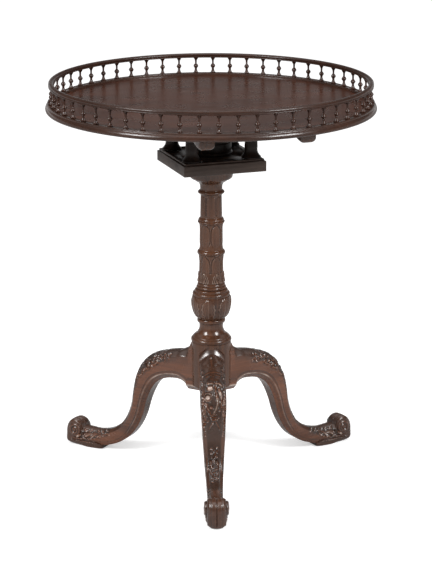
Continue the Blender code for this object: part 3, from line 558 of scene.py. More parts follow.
class Piece:
    """Makes finished objects out of meshes, and hands them to the frame."""

    GRAIN_SHIFT = 0.37
    # Tone of rounded edges, in the crest colour: painted highlight with wear.
    EDGE_RELIEF = 0.9
    EDGE_TURN = math.radians(35.0)
    FLAT_TURN = math.radians(1.0)

    @staticmethod
    def set_attributes(mesh: bpy.types.Mesh, grain: np.ndarray, relief: np.ndarray) -> None:
        """Give a mesh its grain coordinates and its relief.

        Args:
            mesh: Mesh to mark.
            grain: Coordinates of each vertex, the first along the grain.
            relief: Relief of each vertex, from 0 in hollows over 0.5 to 1 on crests; it sets the painted
                shade and painted highlight.
        """
        for name, kind, entry, values in (
            ("grain", "FLOAT_VECTOR", "vector", grain),
            ("relief", "FLOAT", "value", relief),
        ):
            layer = mesh.attributes.get(name) or mesh.attributes.new(name, kind, "POINT")
            layer.data.foreach_set(entry, np.ravel(values).astype(np.float32))

    @staticmethod
    def places(mesh: bpy.types.Mesh) -> np.ndarray:
        """Give the coordinates of a mesh's vertices.

        Args:
            mesh: Mesh to read.

        Returns:
            The coordinates, one row each.
        """
        values = np.empty(len(mesh.vertices) * 3, np.float32)
        mesh.vertices.foreach_get("co", values)
        return values.reshape(-1, 3).astype(float)

    @staticmethod
    def relief(mesh: bpy.types.Mesh) -> np.ndarray:
        """Give the relief of a mesh's vertices.

        Args:
            mesh: Mesh to read.

        Returns:
            The relief of each vertex, the plain one where the mesh has none.
        """
        layer = mesh.attributes.get("relief")
        values = np.full(len(mesh.vertices), PLAIN_RELIEF, np.float32)
        if layer:
            layer.data.foreach_get("value", values)
        return values

    @staticmethod
    def finish(
        name: str,
        mesh: bpy.types.Mesh,
        material: bpy.types.Material,
        slot: Slot,
        body: Body,
        nodes: Sequence[str],
        grain: Grain,
        sharp: float = 40.0,
        turn: float = 0.0,
    ) -> bpy.types.Object:
        """Make a mesh an object that stands for CAD nodes and rides on a body.

        Args:
            name: Name of the object.
            mesh: Mesh of the piece.
            material: Finish of the piece.
            slot: Slot of the record that the finish belongs to; not used.
            body: Body that carries the piece.
            nodes: CAD nodes that the piece stands for.
            grain: Axis of the grain before the turn.
            sharp: Angle in degrees above which an edge stays sharp.
            turn: Turn about Z that puts the piece in its place.

        Returns:
            The object.
        """
        figure = Piece.places(mesh)[:, grain.value] + len(name) * Piece.GRAIN_SHIFT
        Piece.set_attributes(mesh, figure, Piece.relief(mesh))
        mesh.transform(Matrix.Rotation(turn, 4, "Z"))
        mesh.materials.clear()
        mesh.materials.append(material)
        mesh.polygons.foreach_set("use_smooth", [True] * len(mesh.polygons))
        mesh.set_sharp_from_angle(angle=math.radians(sharp))
        mesh.name = name
        obj = bpy.data.objects.new(name, mesh)
        bpy.context.scene.collection.objects.link(obj)
        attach(obj, body.value)
        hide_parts(*nodes)
        LOG.info("%s: %d faces for %s", name, len(mesh.polygons), ", ".join(nodes))
        return obj

    @staticmethod
    def close(bm: bmesh.types.BMesh, name: str, merge: float = 1e-6, fill: bool = True) -> bpy.types.Mesh:
        """Merge a shell's doubles, close its ends and turn its faces outwards.

        Args:
            bm: Shell, which is freed.
            name: Name of the mesh.
            merge: Distance within which vertices merge.
            fill: Whether open ends are closed.

        Returns:
            The mesh.
        """
        bmesh.ops.remove_doubles(bm, verts=bm.verts, dist=merge)
        bmesh.ops.dissolve_degenerate(bm, edges=bm.edges, dist=merge / 2)
        if fill:
            bmesh.ops.holes_fill(bm, edges=[edge for edge in bm.edges if edge.is_boundary], sides=0)
        bmesh.ops.recalc_face_normals(bm, faces=bm.faces)
        mesh = bpy.data.meshes.new(name)
        bm.to_mesh(mesh)
        bm.free()
        return mesh

    @staticmethod
    def join(name: str, meshes: Sequence[bpy.types.Mesh]) -> bpy.types.Mesh:
        """Put several meshes in one.

        Args:
            name: Name of the new mesh.
            meshes: Meshes to put together, which are removed.

        Returns:
            The new mesh.
        """
        bm = bmesh.new()
        for mesh in meshes:
            Piece.set_attributes(mesh, Piece.places(mesh), Piece.relief(mesh))
            bm.from_mesh(mesh)
            bpy.data.meshes.remove(mesh)
        joined = bpy.data.meshes.new(name)
        bm.to_mesh(joined)
        bm.free()
        return joined

    @staticmethod
    def turned(name: str, outline: Sequence[Point], sides: int, closed: bool = False) -> bpy.types.Mesh:
        """Turn an outline about the Z axis.

        Args:
            name: Name of the mesh.
            outline: Radius and height of each point.
            sides: Steps round the axis.
            closed: Whether the outline is a closed loop, as a ring's is.

        Returns:
            The mesh.
        """
        bm = bmesh.new()
        verts = [bm.verts.new((radius, 0.0, z)) for radius, z in outline]
        pairs = list(zip(verts, verts[1:])) + ([(verts[-1], verts[0])] if closed else [])
        edges = [bm.edges.new(pair) for pair in pairs]
        bmesh.ops.spin(
            bm,
            geom=verts + edges,
            cent=(0, 0, 0),
            axis=(0, 0, 1),
            angle=2 * math.pi,
            steps=sides,
            use_merge=True,
        )
        return Piece.close(bm, name, fill=not closed)

    @staticmethod
    def wrapped(
        name: str, places: np.ndarray, relief: np.ndarray, merge: float = 1e-6, fill: bool = True
    ) -> bpy.types.Mesh:
        """Wrap a grid onto a surface.

        Args:
            name: Name of the mesh.
            places: Points of the surface, by row and column.
            relief: Relief at each point.
            merge: Distance within which vertices merge.
            fill: Whether open ends are closed.

        Returns:
            The closed mesh.
        """
        rows, columns = relief.shape
        bm = bmesh.new()
        bmesh.ops.create_grid(bm, x_segments=columns - 1, y_segments=rows - 1, size=0.5)
        flat = bpy.data.meshes.new(name + "_grid")
        bm.to_mesh(flat)
        bm.free()
        flat.vertices.foreach_set("co", places.reshape(-1).astype(np.float32))
        Piece.set_attributes(flat, places.reshape(-1, 3), relief.reshape(-1))
        bm = bmesh.new()
        bm.from_mesh(flat)
        bpy.data.meshes.remove(flat)
        return Piece.close(bm, name, merge, fill)

    @staticmethod
    def softened(name: str, node: str, width: float, least: float, segments: int = 3) -> bpy.types.Mesh:
        """Copy a CAD node's mesh and round its long outer edges.

        Args:
            name: Name of the mesh.
            node: CAD node to copy.
            width: Width of the rounding.
            least: Shortest edge that is rounded.
            segments: Faces across the rounding.

        Returns:
            The mesh.
        """
        bm = bmesh.new()
        bm.from_mesh(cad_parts[node].data)
        bmesh.ops.remove_doubles(bm, verts=bm.verts, dist=1e-5)
        bmesh.ops.dissolve_limit(
            bm,
            angle_limit=Piece.FLAT_TURN,
            verts=bm.verts,
            edges=bm.edges,
            use_dissolve_boundaries=False,
        )
        edges = [
            edge
            for edge in bm.edges
            if len(edge.link_faces) == 2
            and edge.is_convex
            and edge.calc_length() > least
            and edge.calc_face_angle() > Piece.EDGE_TURN
        ]
        made = bmesh.ops.bevel(
            bm,
            geom=edges,
            offset=width,
            segments=segments,
            profile=0.5,
            affect="EDGES",
            material=-1,
            clamp_overlap=True,
        )
        rounded = set(made["faces"])
        layer = bm.verts.layers.float.new("relief")
        # Rounded edges take the crest tone, a painted highlight with wear.
        for vert in bm.verts:
            edge_highlight_and_wear = vert.link_faces and all(face in rounded for face in vert.link_faces)
            vert[layer] = Piece.EDGE_RELIEF if edge_highlight_and_wear else PLAIN_RELIEF
        bmesh.ops.triangulate(bm, faces=[face for face in bm.faces if len(face.verts) > 4])
        bmesh.ops.recalc_face_normals(bm, faces=bm.faces)
        mesh = bpy.data.meshes.new(name)
        bm.to_mesh(mesh)
        bm.free()
        return mesh


def turning(start: Point, cuts: Sequence[tuple[float, float, float]], step: float = 0.0012) -> list[Point]:
    """Outline of a turned piece, cut by cut.

    Args:
        start: Radius and height of the first point.
        cuts: Top height, radius there and bulge of each cut, a hollow being below 0.
        step: Longest stretch between points.

    Returns:
        Radius and height of each point.
    """
    outline = [start]
    for top, radius, bulge in cuts:
        base_radius, base = outline[-1]
        length = math.hypot(radius - base_radius, top - base)
        count = max(1, math.ceil((length + abs(bulge)) / step), 8 if bulge else 1)
        across = (top - base) / length if length else 1.0
        up = (base_radius - radius) / length if length else 0.0
        for index in range(1, count + 1):
            share = index / count
            swell = bulge * math.sin(math.pi * share)
            outline.append(
                (
                    base_radius + (radius - base_radius) * share + swell * across,
                    base + (top - base) * share + swell * up,
                )
            )
    return outline


def blurred(values: np.ndarray, rows: int, columns: int, round_columns: bool = True) -> np.ndarray:
    """Average a grid of values over a window.

    Args:
        values: Grid of values.
        rows: Rows on each side of the middle one.
        columns: Columns on each side of the middle one.
        round_columns: Whether the last column is followed by the first.

    Returns:
        The averaged grid.
    """
    tall, wide = 2 * rows + 1, 2 * columns + 1
    height, width = values.shape
    padded = np.pad(values, ((rows, rows), (0, 0)), "edge")
    upright = sum(padded[shift : shift + height] for shift in range(tall)) / tall
    padded = np.pad(upright, ((0, 0), (columns, columns)), "wrap" if round_columns else "edge")
    return sum(padded[:, shift : shift + width] for shift in range(wide)) / wide


def rise(values: np.ndarray, low: float, high: float) -> np.ndarray:
    """Go smoothly from 0 to 1 between two values."""
    share = np.clip((values - low) / (high - low), 0.0, 1.0)
    return share * share * (3 - 2 * share)


def window(values: np.ndarray, span: Span) -> np.ndarray:
    """Go smoothly from 0 to 1 and back again.

    Args:
        values: Places along a line.
        span: Stretch where it rises, and stretch where it falls.

    Returns:
        Share at each place.
    """
    start, end = span
    return rise(values, *start) * (1 - rise(values, *end))


def smoothed(values: np.ndarray, reach: int) -> np.ndarray:
    """Average a row of values over a soft window.

    Args:
        values: Row of values.
        reach: Values on each side of the middle one.

    Returns:
        The averaged row.
    """
    window = np.hanning(2 * reach + 1)
    return np.convolve(np.pad(values, reach, "edge"), window / window.sum(), "valid")


def smooth_loop(control: np.ndarray, steps: int) -> np.ndarray:
    """Draw a smooth closed line through points.

    Args:
        control: Points that the line goes through.
        steps: Stretches between two points.

    Returns:
        Points of the line, the last one being the first again.
    """
    line = []
    for index in range(len(control)):
        before, first, second, after = (control[(index + shift) % len(control)] for shift in (-1, 0, 1, 2))
        slope = second - before
        bend = 2 * before - 5 * first + 4 * second - after
        twist = 3 * first - before - 3 * second + after
        for share in np.arange(steps) / steps:
            line.append(first + 0.5 * (slope * share + bend * share**2 + twist * share**3))
    return np.array(line + line[:1])


def surface_normals(places: np.ndarray) -> np.ndarray:
    """Normals of a grid of points.

    Args:
        places: Points by row and column.

    Returns:
        Unit vectors by row and column.
    """
    down = np.gradient(places, axis=0)
    across = np.gradient(places, axis=1)
    normals = np.cross(across, down)
    return normals / np.maximum(np.linalg.norm(normals, axis=2, keepdims=True), 1e-12)


@dataclass(frozen=True)
class Stroke:
    """A carved ridge along a curved line, in millimetres of the surface."""

    line: tuple[Point, ...]
    width: float
    height: float
    end_width: float = 0.6

    def points(self, count: int = 22) -> np.ndarray:
        """Points along the line, a curve through its control points.

        Args:
            count: How many points.

        Returns:
            The points, one row each.
        """
        share = np.linspace(0.0, 1.0, count)[:, None]
        controls = [np.array(point) for point in self.line]
        while len(controls) > 1:
            controls = [a * (1 - share) + b * share for a, b in zip(controls, controls[1:])]
        return controls[0] * np.ones_like(share)

    def heights(self, along: np.ndarray, across: np.ndarray) -> np.ndarray:
        """Height of the ridge at points of the surface.

        Args:
            along: First coordinate of the points.
            across: Second coordinate of the points.

        Returns:
            Height in metres.
        """
        points = self.points()
        best = np.zeros_like(along)
        for index, (x, y) in enumerate(points):
            share = index / (len(points) - 1)
            half = (self.width + (self.end_width - self.width) * share**1.4) / 2
            lift = self.height * (0.45 + 0.55 * min(1.0, half * 2 / self.width)) * min(1.0, 0.35 + 4 * share)
            spot = 1 - ((along - x) ** 2 + (across - y) ** 2) / half**2
            best = np.maximum(best, lift * np.sqrt(np.clip(spot, 0.0, 1.0)))
        return best / MILLIMETRES


@dataclass(frozen=True)
class Boss:
    """A carved lobe with a round top, in millimetres of the surface."""

    centre: Point
    radius: float
    height: float

    def heights(self, along: np.ndarray, across: np.ndarray) -> np.ndarray:
        """Height of the lobe at points of the surface.

        Args:
            along: First coordinate of the points.
            across: Second coordinate of the points.

        Returns:
            Height in metres.
        """
        distance = np.hypot(along - self.centre[0], across - self.centre[1]) / self.radius
        return self.height * np.sqrt(np.clip(1 - distance**2, 0.0, 1.0)) / MILLIMETRES


def highest(cuts: Sequence[Stroke | Boss], along: np.ndarray, across: np.ndarray) -> np.ndarray:
    """Height of the highest cut at each point of a surface.

    Args:
        cuts: Strokes and lobes.
        along: First coordinate of the points.
        across: Second coordinate of the points.

    Returns:
        Height in metres, 0 where no cut reaches.
    """
    height = np.zeros_like(along)
    for cut in cuts:
        height = np.maximum(height, cut.heights(along, across))
    return height


@dataclass
class Pillar:
    """Turned and carved post from the drum to the capital.

    A cut is the height of its top, the radius there and its bulge. Reaches are the foot and the
    top of a carved stretch, and arches the shares of it that the panels' points and feet take.
    """

    finishes: Finishes
    foot: float = 0.166
    drum_radius: float = 0.0365
    shoulder: Point = (0.0406, 0.5819)
    tenon_radius: float = 0.0170
    tenon_top: float = 0.6526
    columns: int = 256
    step: float = 0.0015
    carved_reach: Point = (0.25, 0.54)
    panels: int = 6
    panel_phase: float = math.radians(-83.0)
    upper_phase: float = math.radians(-109.5)
    lower_reach: Point = (0.3650, 0.4150)
    middle_reach: Point = (0.4312, 0.4742)
    upper_reach: Point = (0.4895, 0.5275)
    lower_arches: Point = (0.40, 0.06)
    middle_arches: Point = (0.34, 0.34)
    upper_arches: Point = (0.07, 0.07)
    panel_depth: float = 0.0015
    upper_share: float = 0.7
    urn_leaves: int = 7
    urn_phase: float = math.radians(-117.5)
    urn_reach: Point = (0.2955, 0.3384)
    urn_layers: tuple[tuple[float, float, float], ...] = ((0.0, 1.0, 0.0014), (0.5, 0.97, 0.0027))
    urn_ground: float = 0.0011
    leaf_reach: Point = (0.3645, 0.3840)
    leaf_end: float = 0.3832
    leaf_height: float = 0.0018
    nick_z: float = 0.4202
    nick_depth: float = 0.0008
    # Gains of the painted shade in hollows and painted highlight on crests, for the carving and for the
    # turning.
    carving_tone: float = 420.0
    turning_tone: float = 160.0
    cuts: tuple[tuple[float, float, float], ...] = (
        (0.2496, 0.0365, 0.0),
        (0.2502, 0.0357, 0.0),
        (0.2510, 0.0357, 0.0),
        (0.2540, 0.0376, 0.0004),
        (0.2592, 0.0350, 0.0007),
        (0.2596, 0.0342, 0.0),
        (0.2604, 0.0342, 0.0),
        (0.2664, 0.0266, 0.0005),
        (0.2872, 0.0228, -0.0026),
        (0.2882, 0.0254, 0.0005),
        (0.2930, 0.0258, 0.0005),
        (0.2944, 0.0242, 0.0004),
        (0.3060, 0.0326, 0.0006),
        (0.3270, 0.0364, 0.0009),
        (0.3384, 0.0348, 0.0004),
        (0.3390, 0.0334, 0.0),
        (0.3412, 0.0334, 0.0),
        (0.3420, 0.0346, 0.0003),
        (0.3464, 0.0322, 0.0007),
        (0.3468, 0.0310, 0.0),
        (0.3482, 0.0306, 0.0),
        (0.3516, 0.0286, 0.0006),
        (0.3520, 0.0258, 0.0),
        (0.3528, 0.0258, 0.0),
        (0.3540, 0.0276, 0.0004),
        (0.3580, 0.0256, 0.0006),
        (0.3584, 0.0247, 0.0),
        (0.3594, 0.0257, 0.0003),
        (0.3634, 0.0237, 0.0006),
        (0.3640, 0.0240, 0.0),
        (0.3830, 0.0217, -0.0002),
        (0.4000, 0.0213, 0.0),
        (0.4145, 0.0225, -0.0003),
        (0.4170, 0.0225, 0.0),
        (0.4174, 0.0242, 0.0),
        (0.4184, 0.0244, 0.0003),
        (0.4188, 0.0236, 0.0),
        (0.4206, 0.0260, 0.0007),
        (0.4262, 0.0222, 0.0008),
        (0.4270, 0.0221, 0.0),
        (0.4370, 0.0207, -0.0002),
        (0.4620, 0.0204, 0.0),
        (0.4752, 0.0212, -0.0003),
        (0.4756, 0.0231, 0.0),
        (0.4766, 0.0233, 0.0003),
        (0.4770, 0.0226, 0.0),
        (0.4784, 0.0247, 0.0005),
        (0.4806, 0.0240, 0.0004),
        (0.4809, 0.0231, 0.0),
        (0.4816, 0.0236, 0.0002),
        (0.4862, 0.0213, 0.0006),
        (0.4866, 0.0204, 0.0),
        (0.4890, 0.0201, -0.0002),
        (0.5269, 0.0193, 0.0),
        (0.5302, 0.0199, 0.0),
        (0.5388, 0.0203, 0.0044),
        (0.5435, 0.0204, -0.0002),
        (0.5490, 0.0214, -0.0003),
        (0.5548, 0.0276, -0.0012),
        (0.5600, 0.0362, -0.0004),
        (0.5648, 0.0394, 0.0006),
        (0.5817, 0.0412, 0.0004),
    )

    def panel(
        self, angle: np.ndarray, z: np.ndarray, reach: Point, arches: Point, phase: float
    ) -> np.ndarray:
        """Soft domed panels round a shaft, pointed at their ends, with a groove along their edges.

        Args:
            angle: Angle of the points.
            z: Height of the points.
            reach: Foot and point of the panels.
            arches: Shares of the height that the point and the foot take.
            phase: Angle of the first panel's middle.

        Returns:
            Height of the surface above the turned shaft.
        """
        low, high = reach
        pitch = 2 * math.pi / self.panels
        off = np.abs((angle - phase + pitch / 2) % pitch - pitch / 2) / (pitch / 2)
        share = np.clip((z - low) / (high - low), 0.0, 1.0)
        top = np.clip((1 - share) / arches[0], 0.0, 1.0)
        foot = np.clip(share / arches[1], 0.0, 1.0)
        half = 0.90 * np.sqrt(top * (2 - top)) * np.sqrt(foot * (2 - foot))
        within = (z > low) & (z < high)
        groove = np.exp(-(((off - half) / 0.12) ** 2)) * rise(half, 0.1, 0.3)
        dome = 0.5 * np.sqrt(np.clip(1 - (off / np.maximum(half, 0.05)) ** 2, 0.0, 1.0))
        return self.panel_depth * (dome - groove) * rise(foot, 0.0, 0.7) * within

    def urn(self, angle: np.ndarray, z: np.ndarray) -> np.ndarray:
        """Overlapping leaves up the urn's bowl.

        Args:
            angle: Angle of the points.
            z: Height of the points.

        Returns:
            Height of the surface above the turned bowl.
        """
        low, high = self.urn_reach
        share = np.clip((z - low) / (high - low), 0.0, 1.0)
        height = np.zeros_like(z)
        pitch = 2 * math.pi / self.urn_leaves
        for layer, (phase, tip, tall) in enumerate(self.urn_layers):
            off = ((angle - self.urn_phase) / pitch + phase) % 1.0 - 0.5
            end = np.clip(share / tip, 0.0, 1.0)
            half = 0.50 * np.sqrt(1.0 - end**5) * (0.80 + 0.20 * np.sin(math.pi * end))
            half = half * (1 - 0.14 * (0.5 + 0.5 * np.cos(2 * math.pi * end * 4.5)))
            body = rise(half - np.abs(off), 0.0, 0.06)
            side = np.abs(off) / np.maximum(half, 0.02)
            veins = 0.5 + 0.5 * np.cos(2 * math.pi * (side * 3.2 - end * 0.8))
            rib = np.exp(-((off / 0.035) ** 2))
            form = tall * body * (0.60 + 0.34 * veins * side + 0.30 * rib)
            height = np.where(body > 0.02, np.maximum(height * (layer == 0), form), height)
        ground = self.urn_ground * ((z > low) & (z < high))
        return height * rise(z, low - 0.001, low + 0.004) * rise(high - z, -0.0005, 0.0012) - ground

    def foot_leaves(self, angle: np.ndarray, z: np.ndarray) -> np.ndarray:
        """Small leaves that stand round the foot of the lower shaft.

        Args:
            angle: Angle of the points.
            z: Height of the points.

        Returns:
            Height of the surface above the turned shaft.
        """
        low, high = self.leaf_reach
        pitch = 2 * math.pi / self.panels
        off = ((angle - self.panel_phase) / pitch + 0.5) % 1.0 - 0.5
        share = np.clip((z - low) / (high - low), 0.0, 1.0)
        half = 0.44 * np.sqrt(1 - share**2.4)
        body = rise(half - np.abs(off), 0.0, 0.10) * (z > low) * (z < high)
        veins = 0.65 + 0.35 * np.cos(2 * math.pi * (np.abs(off) * 7 - share * 1.5))
        rib = 0.35 * np.exp(-((off / 0.06) ** 2))
        return self.leaf_height * body * (veins + rib)

    def ring_nicks(self, angle: np.ndarray, z: np.ndarray) -> np.ndarray:
        """Nicks cut into the ring between the lower and the middle shaft.

        Args:
            angle: Angle of the points.
            z: Height of the points.

        Returns:
            Height of the surface above the turned ring.
        """
        nicks = np.abs(np.sin(angle * 9)) ** 0.6
        near = np.exp(-(((z - self.nick_z) / 0.0016) ** 2))
        return -self.nick_depth * (1 - nicks) * near

    def relief(self, angle: np.ndarray, z: np.ndarray) -> np.ndarray:
        """Height of all carving above the turned post.

        Args:
            angle: Angle of the points.
            z: Height of the points.

        Returns:
            Height in metres.
        """
        lower = self.panel(angle, z, self.lower_reach, self.lower_arches, self.panel_phase)
        middle = self.panel(angle, z, self.middle_reach, self.middle_arches, self.panel_phase)
        upper = self.panel(angle, z, self.upper_reach, self.upper_arches, self.upper_phase)
        carved = lower + middle + self.upper_share * upper
        carved = carved + self.urn(angle, z) + self.ring_nicks(angle, z)
        return np.where(z < self.leaf_end, np.maximum(carved, self.foot_leaves(angle, z)), carved)

    def build(self) -> bpy.types.Mesh:
        """Build the post as a wrapped grid.

        Returns:
            The mesh.
        """
        tenon = [(self.tenon_radius, self.shoulder[1]), (self.tenon_radius, self.tenon_top)]
        turned = turning((self.drum_radius, self.foot), self.cuts, self.step)
        outline = np.array(turned + [self.shoulder] + tenon)
        angle = np.linspace(0.0, 2 * math.pi, self.columns + 1)[None, :] * np.ones((len(outline), 1))
        z = outline[:, 1:2] * np.ones_like(angle)
        low, high = self.carved_reach
        height = np.where((z > low) & (z < high), self.relief(angle, z), 0.0)
        radius = outline[:, 0:1] + height
        places = np.stack((radius * np.cos(angle), radius * np.sin(angle), z), axis=2)
        # Painted shade in the hollows and painted highlight on the crests of the carving and the turning.
        carving = (height - blurred(height, 2, 3)) * self.carving_tone
        turning_shade_and_highlight = (radius - blurred(radius, 2, 2)) * self.turning_tone
        tone = PLAIN_RELIEF + carving + turning_shade_and_highlight
        tone[:1] = PLAIN_RELIEF
        tone[-4:] = PLAIN_RELIEF
        return Piece.wrapped("pillar_post", places, np.clip(tone, 0.12, 1.0), merge=2e-6)

    def dress(self) -> bpy.types.Object:
        """Finish the post.

        Returns:
            The object.
        """
        return Piece.finish(
            "carved_pillar",
            self.build(),
            self.finishes.carved,
            Slot.MAHOGANY,
            Body.BASE,
            ["pillar"],
            Grain.ALONG_Z,
            50.0,
        )


@dataclass
class Legs:
    """Three carved cabriole legs on scroll feet.

    A pair is the radius and height of a point, the height and reach of a form, or the start and
    end of a stretch. Depths and widths go by the share of the centre line, crowns by the length
    along the top. Spans, band_half, instep_start, strip_start and arris_fade are in millimetres.
    """

    finishes: Finishes
    names: tuple[str, ...] = ("right", "left", "front")
    yaw: float = math.radians(12.4)
    root: Point = (0.0365, 0.197)
    root_rise: float = math.radians(3.0)
    root_handle: float = 0.082
    shin: Point = (0.151, 0.109)
    shin_lean: float = math.radians(13.0)
    shin_handles: Point = (0.061, 0.042)
    ankle: Point = (0.242, 0.0212)
    ankle_drop: float = math.radians(7.0)
    ankle_handle: float = 0.061
    instep: Point = (0.284, 0.0215)
    instep_handles: Point = (0.014, 0.014)
    depths: tuple[Point, ...] = (
        (0.0, 0.0565),
        (0.03, 0.0563),
        (0.06, 0.0560),
        (0.12, 0.0550),
        (0.25, 0.0515),
        (0.5, 0.0455),
        (1.0, 0.0300),
        (2.0, 0.0300),
        (2.4, 0.0310),
        (3.0, 0.0310),
    )
    widths: tuple[Point, ...] = (
        (0.0, 0.0460),
        (0.6, 0.0460),
        (1.0, 0.0390),
        (1.5, 0.0315),
        (2.0, 0.0258),
        (2.5, 0.0300),
        (3.0, 0.0335),
    )
    fillet: Point = (0.0145, 0.025)
    fillet_power: float = 1.4
    cheek: Point = (0.0085, 0.0055)
    cheek_power: float = 1.2
    knob: Point = (0.0158, 0.0045)
    knob_corner: float = 0.002
    knob_tail: Point = (0.78, 0.027)
    knee_swell: tuple[float, float, float] = (0.0036, 0.080, 0.020)
    knee_end: Point = (0.100, 0.138)
    foot_start: Point = (0.255, 0.290)
    crowns: tuple[Point, ...] = (
        (-0.020, 0.003),
        (0.0, 0.004),
        (0.010, 0.010),
        (0.060, 0.013),
        (0.098, 0.011),
        (0.138, 0.009),
    )
    keel_lean: float = 1.2
    keel_blunt: float = 0.011
    keel_shoulder: tuple[float, float, float] = (0.0018, 0.0095, 0.0135)
    keel_end: Point = (0.008, 0.036)
    root_relief: tuple[float, float, float] = (0.30, -0.002, 0.006)
    root_sink: float = 0.018
    shin_crown: float = 0.0012
    shin_flat: float = 0.64
    strip: float = 0.0056
    chamfer: float = 0.0095
    sole_width: float = 0.026
    spacing: float = 0.00105
    flat_steps: int = 22
    strip_steps: int = 8
    side_steps: int = 16
    slope_steps: int = 7
    sole_steps: int = 4
    carving_start: float = 0.003
    arris_lift: Point = (0.0014, 0.0008)
    groove_depth: float = 0.0008
    leaf_start: Point = (0.232, 0.240)
    arris_span: Span = ((4.0, 16.0), (250.0, 280.0))
    knee_span: Span = ((-6.0, 0.0), (280.0, 300.0))
    shin_span: Span = ((66.0, 76.0), (300.0, 320.0))
    band_span: Span = ((20.0, 40.0), (120.0, 150.0))
    band_half: float = 34.0
    instep_start: Point = (296.0, 310.0)
    strip_start: Point = (150.0, 180.0)
    arris_fade: Point = (110.0, 150.0)
    # Start and gain of the painted highlight on the tallest carving, and gain of the painted shade and
    # highlight of the carving's relief.
    bright_height: float = 0.0030
    bright_tone: float = 230.0
    carving_tone: float = 340.0
    scroll_centre: Point = (0.2908, 0.0318)
    scroll_radius: float = 0.0132
    scroll_width: float = 0.0435
    scroll_round: float = 0.0040
    spiral_pitch: float = 0.0058
    spiral_depth: float = 0.0016
    eye_radius: float = 0.0042
    eye_height: float = 0.0008
    toe_width: float = 0.0335
    toe_round: float = 0.0052
    toe_reach: Point = (0.262, 0.288)
    front_reach: Point = (0.284, 0.306)
    heel_reach: Point = (0.230, 0.262)
    reed_start: Point = (0.268, 0.276)
    reed_pitch: float = 0.0048
    reed_depth: float = 0.0010
    middle_groove: Point = (0.0008, 0.0014)
    chip_seed: int = 11
    foot_steps: int = 9
    foot_middle: Point = (0.280, 0.016)
    foot_outline: tuple[Point, ...] = (
        (0.2340, 0.0004),
        (0.2320, 0.0028),
        (0.2328, 0.0066),
        (0.2400, 0.0092),
        (0.2520, 0.0108),
        (0.2620, 0.0140),
        (0.2712, 0.0200),
        (0.2750, 0.0280),
        (0.2764, 0.0370),
        (0.2816, 0.0468),
        (0.2925, 0.0510),
        (0.3036, 0.0482),
        (0.3108, 0.0400),
        (0.3140, 0.0290),
        (0.3142, 0.0210),
        (0.3148, 0.0140),
        (0.3142, 0.0065),
        (0.3108, 0.0010),
        (0.2900, 0.0),
        (0.2600, 0.0),
    )

    @property
    def shoulder_rank(self) -> int:
        """Point of the section where its side begins, counted from the middle of the top."""
        return self.flat_steps + self.strip_steps

    @property
    def arris_rank(self) -> int:
        """Point of the section where its side meets the slope to the sole."""
        return self.shoulder_rank + self.side_steps

    @property
    def groove_rank(self) -> int:
        """Point of the section where a groove runs above the arris."""
        return self.arris_rank - 3

    @property
    def sole_rank(self) -> int:
        """Point of the section where the sole begins."""
        return self.arris_rank + self.slope_steps

    def line(self, share: float) -> tuple[np.ndarray, np.ndarray]:
        """Point of the centre line and its heading.

        Args:
            share: Place along the three curves, 0 at the root and 3 under the scroll.

        Returns:
            Radius and height of the point, and a unit vector along the line.
        """
        out = np.array((math.cos(self.root_rise), math.sin(self.root_rise)))
        down = np.array((math.sin(self.shin_lean), -math.cos(self.shin_lean)))
        away = np.array((math.cos(self.ankle_drop), -math.sin(self.ankle_drop)))
        level = np.array((1.0, 0.0))
        spots = (self.root, self.shin, self.ankle, self.instep)
        root, shin, ankle, instep = (np.array(spot) for spot in spots)
        curves = (
            (root, root + out * self.root_handle, shin - down * self.shin_handles[0], shin),
            (shin, shin + down * self.shin_handles[1], ankle - away * self.ankle_handle, ankle),
            (ankle, ankle + away * self.instep_handles[0], instep - level * self.instep_handles[1], instep),
        )
        index = min(int(share), 2)
        first, second, third, last = curves[index]
        part = share - index
        rest = 1 - part
        place = rest**3 * first + 3 * rest**2 * part * second + 3 * rest * part**2 * third + part**3 * last
        heading = rest**2 * (second - first) + 2 * rest * part * (third - second) + part**2 * (last - third)
        return place, heading / np.hypot(*heading)

    def stations(self) -> tuple[np.ndarray, np.ndarray, np.ndarray, np.ndarray, np.ndarray]:
        """Evenly spaced stations along the top of the leg.

        Returns:
            Centre, rise direction, reach above and below, half width, and length along the top,
            at each station.
        """
        dense = np.linspace(0.0, 3.0, 1501)
        pairs = [self.line(float(share)) for share in dense]
        centre = np.array([place for place, _ in pairs])
        up = np.array([(-heading[1], heading[0]) for _, heading in pairs])
        depth = smoothed(np.interp(dense, *zip(*self.depths)), 11)
        half = smoothed(np.interp(dense, *zip(*self.widths)) / 2, 80)
        out = centre[:, 0] - centre[0, 0]
        fillet, fillet_end = self.fillet
        cheek, cheek_end = self.cheek
        swell, swell_place, swell_reach = self.knee_swell
        above = depth / 2 + fillet * np.clip(1 - out / fillet_end, 0.0, 1.0) ** self.fillet_power
        above = above + cheek * np.clip(1 - out / cheek_end, 0.0, 1.0) ** self.cheek_power
        above = above + swell * np.exp(-(((out - swell_place) / swell_reach) ** 2))
        knob, knob_end = self.knob
        tail, tail_reach = self.knob_tail
        cusp = tail * np.clip(1 - (out - knob_end) / tail_reach, 0.0, 1.0) ** 2
        cusp = np.maximum(cusp, 1 - rise(out, knob_end, knob_end + self.knob_corner))
        below = depth / 2 + knob * np.where(dense < 1.0, np.minimum(cusp, 1.0), 0.0)
        top = centre + up * above[:, None]
        length = np.concatenate(((0.0,), np.cumsum(np.hypot(*np.diff(top, axis=0).T))))
        even = np.linspace(0.0, length[-1], round(length[-1] / self.spacing))
        pick = [np.interp(even, length, column) for column in (*centre.T, *up.T, above, below, half)]
        return np.stack(pick[0:2], 1), np.stack(pick[2:4], 1), np.stack(pick[4:6], 1), pick[6], even

